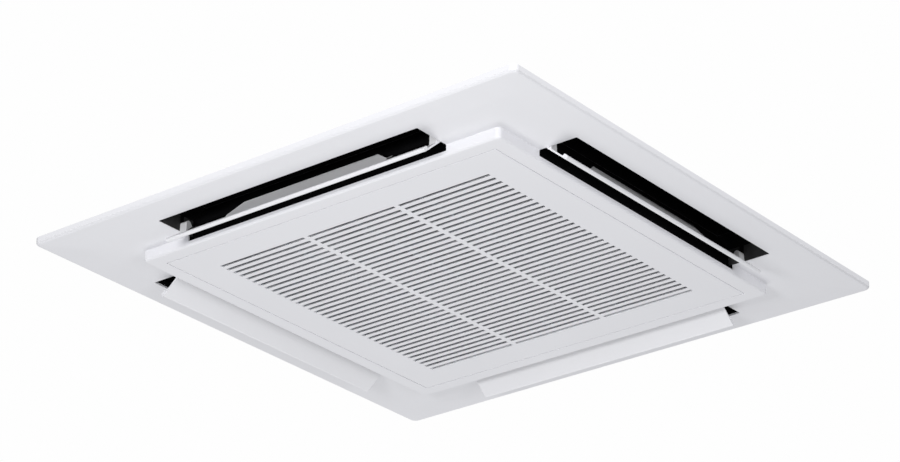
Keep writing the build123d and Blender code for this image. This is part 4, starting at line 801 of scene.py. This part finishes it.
def vane_ear(end):
    """The ear near one end of a vane, as the hull of its pin's boss and its two roots on the blade."""
    outline = []
    for k in range(16):
        a = math.tau * k / 16
        x, rise = PIVOT[0] + EAR_RADIUS * math.cos(a), EAR_RADIUS * math.sin(a)
        outline += [(x, PIVOT[1] + rise), (x, PIVOT[1] + EAR_RISE + rise)]
    outline += [vane_at(root, PLATE / 2) for root in EAR_ROOTS]
    hull = bmesh.new()
    for y in (end * (VANE_HALF - 2 * HAIR), end * (VANE_HALF - EAR_LENGTH)):
        for x, up in outline:
            hull.verts.new(place(x, y, up))
    bmesh.ops.convex_hull(hull, input=hull.verts)
    bmesh.ops.delete(hull, geom=[v for v in hull.verts if not v.link_faces], context="VERTS")
    ear = mesh_piece("ear", [], [])
    hull.to_mesh(ear.data)
    hull.free()
    outward(ear)
    return ear


def vane_pin(end):
    """The pin that a vane turns on, out of its ear at one end."""
    near, far = end * (VANE_HALF - PIN_IN), end * (VANE_HALF + PIN_OUT)
    return rod("pin", (PIVOT[0], near, PIVOT[1]), (PIVOT[0], far, PIVOT[1]), PIN_RADIUS, 24, PIN_CHAMFER)


# the first vane lies on the +X side: blade, fin, the fin's ribs, then ears and pins
blade = arc((LIP_HIGH / 2, LIP_HIGH / 2), LIP_HIGH / 2, 270, 90, 14)
blade += [(LIP_DEPTH, LIP_HIGH), (LIP_DEPTH + 2, PLATE)]
blade += [(CHORD - 1.5, PLATE), (CHORD, PLATE / 2), (CHORD - 1.5, 0)]
blade = [vane_at(*p) for p in blade]
vane = along_side("vane", [(-VANE_HALF, blade), (VANE_HALF, blade)])
short, full = fin_section(FIN_LOW), fin_section(1.0)
fin = [(-FIN_HALF, short), (-FIN_FULL_HALF, full), (FIN_FULL_HALF, full), (FIN_HALF, short)]
carve(vane, along_side("fin", fin), "UNION")
rib_tip = (FIN_TIP[0] - 1.5, FIN_TIP[1] - 1.6)
rib = [(FIN_FOOT + 2, PLATE - 0.2), (FIN_FOOT + 2, PLATE + 0.2), rib_tip, (rib_tip[0], PLATE - 0.2)]
rib = [vane_at(*p) for p in rib]
for y in (-FIN_RIB_PITCH, 0, FIN_RIB_PITCH):
    carve(vane, along_side("rib", [(y - FIN_RIB_HALF, rib), (y + FIN_RIB_HALF, rib)]), "UNION")
for end in (-1, 1):
    carve(vane, vane_ear(end), "UNION")
    carve(vane, vane_pin(end), "UNION")
soften(vane, 0.4, 2, 28)
for side, side_name in enumerate(SIDES):
    turned = quarter_turn(vane, f"outlet_vane_{side_name}", side)
    dress(turned, f"vane_{side_name}", "vane_white_plastic", f"vane_{side_name}")
bpy.data.objects.remove(vane)

# black foam on the back of each vane: painted shade that keeps its back dark inside the slot, shorter in
# the middle, where the fin stands
shade_pads = []
low, high = PLATE + PAD_LIFT, PLATE + PAD_TOP
for y0, y1, inner in SHADE_PAD_SPANS:
    shade_pad = [(PAD_FROM, low), (inner, low), (inner - PAD_CHAMFER, high), (PAD_FROM + PAD_CHAMFER, high)]
    shade_pad = [vane_at(*p) for p in shade_pad]
    shade_pads.append(along_side("shade_pad", [(y0, shade_pad), (y1, shade_pad)]))
shade_pads = smooth(joined("vane_shade_pad", shade_pads))
for side, side_name in enumerate(SIDES):
    dress(quarter_turn(shade_pads, f"vane_shade_pad_{side_name}", side), f"vane_{side_name}", "black_liner_foam")
bpy.data.objects.remove(shade_pads)

# ---------------------------------------------------------------- inside the slots
# cheeks close the slots' ends, edges line their outer walls, linings face the ducts above
cheeks = []
for end in (-1, 1):
    y0, y1 = sorted(end * y for y in CHEEK_FACES)
    cheeks += [block("cheek", (x0, y0, CHEEK_FOOT), (x1, y1, CHEEK_TOP)) for x0, x1 in CHEEK_SPANS]
cheeks = smooth(joined("cheek", cheeks))
edge = smooth(block("edge", (EDGE_FACES[0], -EDGE_HALF, EDGE_FOOT), (EDGE_FACES[1], EDGE_HALF, EDGE_TOP)))
lining_loops = []
for halves, up in (
    (LINING_OUTER, LINING_FOOT),
    (LINING_OUTER, LINING_TOP),
    (LINING_INNER, LINING_TOP),
    (LINING_INNER, LINING_FOOT),
):
    lining_loops.append(rounded_square(halves[0], LINING_CORNER, up, 4, halves[1]))
lining = loft("lining", lining_loops, True)
lining.data.transform(Matrix.Translation(Vector((LINING_AT / 1000, 0, 0))))
smooth(lining)
# the cheeks are grey on the right and rear and black rubber on the left and front: lighter and darker
# copies of one part by side, painted light and shade
cheek_light_and_shade_slots = ["grey_plastic", "grey_plastic", "mount_rubber", "mount_rubber"]
for side, side_name in enumerate(SIDES):
    dress(quarter_turn(cheeks, f"slot_cheeks_{side_name}", side), "housing", cheek_light_and_shade_slots[side])
    dress(quarter_turn(edge, f"slot_edge_{side_name}", side), "housing", "panel_white_plastic")
    dress(quarter_turn(lining, f"duct_lining_{side_name}", side), "housing", "black_liner_foam")
for part in (cheeks, edge, lining):
    bpy.data.objects.remove(part)

# a pale step behind the seam round the grille, left out where the grille's hinged edge swings up
steps = [
    block("step", (-STEP_OUT, -STEP_OUT, STEP_FOOT), (STEP_OUT, -STEP_IN, STEP_TOP)),
    block("step", (-STEP_OUT, -STEP_CORNER, STEP_FOOT), (-STEP_IN, STEP_END, STEP_TOP)),
    block("step", (STEP_IN, -STEP_CORNER, STEP_FOOT), (STEP_OUT, STEP_END, STEP_TOP)),
]
dress(smooth(joined("seam_step", steps)), "housing", "panel_white_plastic")

# ---------------------------------------------------------------- turbo fan
hub_below = [
    (SHAFT_RADIUS, 150), (16.5, 150), (18, 151.5), (18, 161), (40, 167), (62, 173),
    (78, 178.5), (93, 196), (107, 217), (116, 227), (126, 233), (FAN_RADIUS, 233),
]
hub_above = [
    (FAN_RADIUS, 236), (124, 236), (113, 231), (104, 219.5), (90, 199), (76, 181),
    (60, 176), (40, 171), (18, 166.5), (18, 179), (16.5, 180), (SHAFT_RADIUS, 180),
]
hub = turned_shell("hub", hub_below + hub_above)
shroud_low = bow((212, 74), (216.5, 89), (FAN_RADIUS, 97), 10)
shroud_high = [(r - 1.2 + 1.2 * k / 10, up + 2.6) for k, (r, up) in enumerate(shroud_low)]
shroud = turned_shell("shroud", shroud_low + list(reversed(shroud_high)))


def fan_blade(turn):
    """One backward-curved blade with a rounded nose and a thin tail."""
    sections = []
    for up, lean in ((98.4, 0.0), (130, 1.5), (170, 3.0), (210, 4.2), (234.4, 5.0)):
        front, back = [], []
        for k in range(13):
            t = k / 12
            sweep = math.radians(38 * t ** 1.15 + lean * (1 - t) + turn)
            radius = BLADE_INNER + (FAN_RADIUS - 2 - BLADE_INNER) * t
            thick = 5.2 * (0.35 + 1.9 * t ** 0.5) * (1 - t) ** 0.8 / 1.35 + 0.9
            x, y = radius * math.cos(sweep), -radius * math.sin(sweep)
            across = (math.sin(sweep + 0.9), math.cos(sweep + 0.9))
            front.append(place(x + across[0] * thick / 2, y + across[1] * thick / 2, up))
            back.append(place(x - across[0] * thick / 2, y - across[1] * thick / 2, up))
        sections.append(front + list(reversed(back)))
    return loft("blade", sections, False)


wheel = joined("turbo_wheel", [hub, shroud, *[fan_blade(360 / BLADES * k) for k in range(BLADES)]])
smooth(wheel, 40)
dress(wheel, "fan", "fan_plastic", "turbo_fan")

# ---------------------------------------------------------------- screws
steel = FINISHES["pin_steel"]


def crosshead(name, radius, height, shank, length, flange=0.0):
    """A round screw head that faces up from height 0, with a cross recess and its shank below."""
    foot, steps = radius + flange, 24
    rings = [
        (foot, 0),
        (foot, height * 0.25),
        (radius, height * 0.4),
        (radius, height * 0.8),
        (radius * 0.8, height),
    ]
    turns = [math.tau * k / steps for k in range(steps)]
    loops = [[place(r * math.cos(t), r * math.sin(t), up) for t in turns] for r, up in rings]
    head = loft(name, loops, False)
    reach, half = radius * 0.62, radius * 0.13
    for a in (0, 90):
        arm = block("arm", (-reach, -half, height * 0.35), (reach, half, height * 2))
        arm.data.transform(Matrix.Rotation(math.radians(a), 4, "Z"))
        carve(head, arm)
    carve(head, rod("shank", (0, 0, -length), (0, 0, height * 0.2), shank, 20, 0.3), "UNION")
    head.data.transform(Matrix.Translation(-place(0, 0, 0)))
    return head


screw = crosshead("top screw", 3.9, 3.0, 1.9, 1.2, 0.6)
spots = [(812, 360, 0, 0), (360, 812, 0, 0)]
screws = on_grids(screw, "top_screw_heads", steel, spots, TOP_PLATE + CEILING)
dress(smooth(screws, 40), "housing", "pin_steel", "top_screws")

screw = crosshead("control screw", 3.4, 2.0, 1.4, 7.0)
screw.data.transform(Matrix.Rotation(math.pi, 4, "X"))
spots = [(224, 68.1 - 14.0, 0, -290.05)]
screws = on_grids(screw, "control_screw_heads", steel, spots, CONTROL_COVER + CEILING)
dress(smooth(screws, 40), "housing", "pin_steel", "control_screws")

# ---------------------------------------------------------------- nodes that keep the solids' shape
for node_name, node in nodes.items():
    node.data.materials.clear()
    node.data.materials.append(FINISHES[slot_of[node_name]])

# ---------------------------------------------------------------- ceiling, lights and camera
scene = bpy.context.scene
scene.view_settings.view_transform = "Standard"
# the board has a square cut-out, and its four lower faces, which come first, shine white
corners = [(-1, -1), (1, -1), (1, 1), (-1, 1)]
squares = [(half, up) for up in (0, CEILING_BOARD) for half in (CEILING_CUT, CEILING_REACH)]
points = [place(sx * half, sy * half, up) for half, up in squares for sx, sy in corners]
faces = []
for k in range(4):
    m = (k + 1) % 4
    faces.append((k, m, 4 + m, 4 + k))
for k in range(4):
    m = (k + 1) % 4
    faces.append((8 + k, 12 + k, 12 + m, 8 + m))
    faces.append((k, 8 + k, 8 + m, m))
ceiling = mesh_piece("ceiling", points, faces)
white = bpy.data.materials.new("ceiling white")
white.use_nodes = True
white.node_tree.nodes.remove(white.node_tree.nodes["Principled BSDF"])
lamp = white.node_tree.nodes.new("ShaderNodeEmission")
lamp.inputs["Color"].default_value = (0.991, 0.991, 0.991, 1)
white.node_tree.links.new(lamp.outputs[0], white.node_tree.nodes["Material Output"].inputs[0])
board = Finish("ceiling board", (0.80, 0.80, 0.79), 0.9)
ceiling.data.materials.append(white)
ceiling.data.materials.append(board.material)
for face in ceiling.data.polygons:
    face.material_index = 0 if face.index < 4 else 1
# the board is only seen: it neither shades nor lights the unit
for ray in ("diffuse", "glossy", "transmission", "shadow", "volume_scatter"):
    setattr(ceiling, f"visible_{ray}", False)

# soft light from all round, while the camera sees an even pale grey
world = bpy.data.worlds.new("room")
scene.world = world
world.use_nodes = True
sky = world.node_tree
background = sky.nodes["Background"]
background.inputs["Color"].default_value = (0.97, 0.98, 1.0, 1)
background.inputs["Strength"].default_value = 0.40
path = sky.nodes.new("ShaderNodeLightPath")
pale = sky.nodes.new("ShaderNodeBackground")
pale.inputs["Color"].default_value = (0.93, 0.93, 0.93, 1)
chosen = sky.nodes.new("ShaderNodeMixShader")
sky.links.new(path.outputs["Is Camera Ray"], chosen.inputs[0])
sky.links.new(background.outputs[0], chosen.inputs[1])
sky.links.new(pale.outputs[0], chosen.inputs[2])
sky.links.new(chosen.outputs[0], sky.nodes["World Output"].inputs[0])


def softbox(name, at, aim, width, power, height=None):
    """A square or oblong area light that faces its aim."""
    light = bpy.data.lights.new(name, "AREA")
    light.shape = "RECTANGLE"
    light.size, light.size_y = width, height or width
    light.energy = power
    lamp = bpy.data.objects.new(name, light)
    scene.collection.objects.link(lamp)
    lamp.location = at
    lamp.rotation_euler = (Vector(aim) - Vector(at)).to_track_quat("-Z", "Y").to_euler()


softbox("key from the left", (-2.5, -0.5, -0.96), (0, 0, -0.17), 0.8, 30.5, 0.5)
softbox("key from the right", (-0.9, -2.8, -1.1), (0, 0, -0.17), 1.2, 21.8)
softbox("floor bounce", (1.2, 1.2, -2.6), (0, 0, -0.17), 2.0, 31.4)
softbox("overhead", (-1.5, -2.0, 3.2), (0, 0, 0), 2.5, 110)
softbox("overhead fill", (2.4, 2.0, 2.4), (0, 0, 0), 2.0, 45)

# the photograph's camera, fitted to the panel's edges
azimuth, elevation, roll = math.radians(308.562), math.radians(-25.198), 0.006
target, distance = Vector((-0.118048, -0.076539, -0.17955)), 4.789697
level = math.cos(elevation)
back = Vector((math.sin(azimuth) * level, -math.cos(azimuth) * level, math.sin(elevation)))
right = (-back).cross(Vector((0, 0, 1))).normalized()
up = right.cross(-back)
right, up = right * math.cos(roll) + up * math.sin(roll), up * math.cos(roll) - right * math.sin(roll)
camera_data = bpy.data.cameras.new("camera")
camera_data.sensor_width = 36
camera_data.lens = 123.53
camera_data.clip_end = 200
camera = bpy.data.objects.new("camera", camera_data)
scene.collection.objects.link(camera)
turn = Matrix((right, up, back)).transposed().to_4x4()
camera.matrix_world = Matrix.Translation(target + back * distance) @ turn
scene.camera = camera
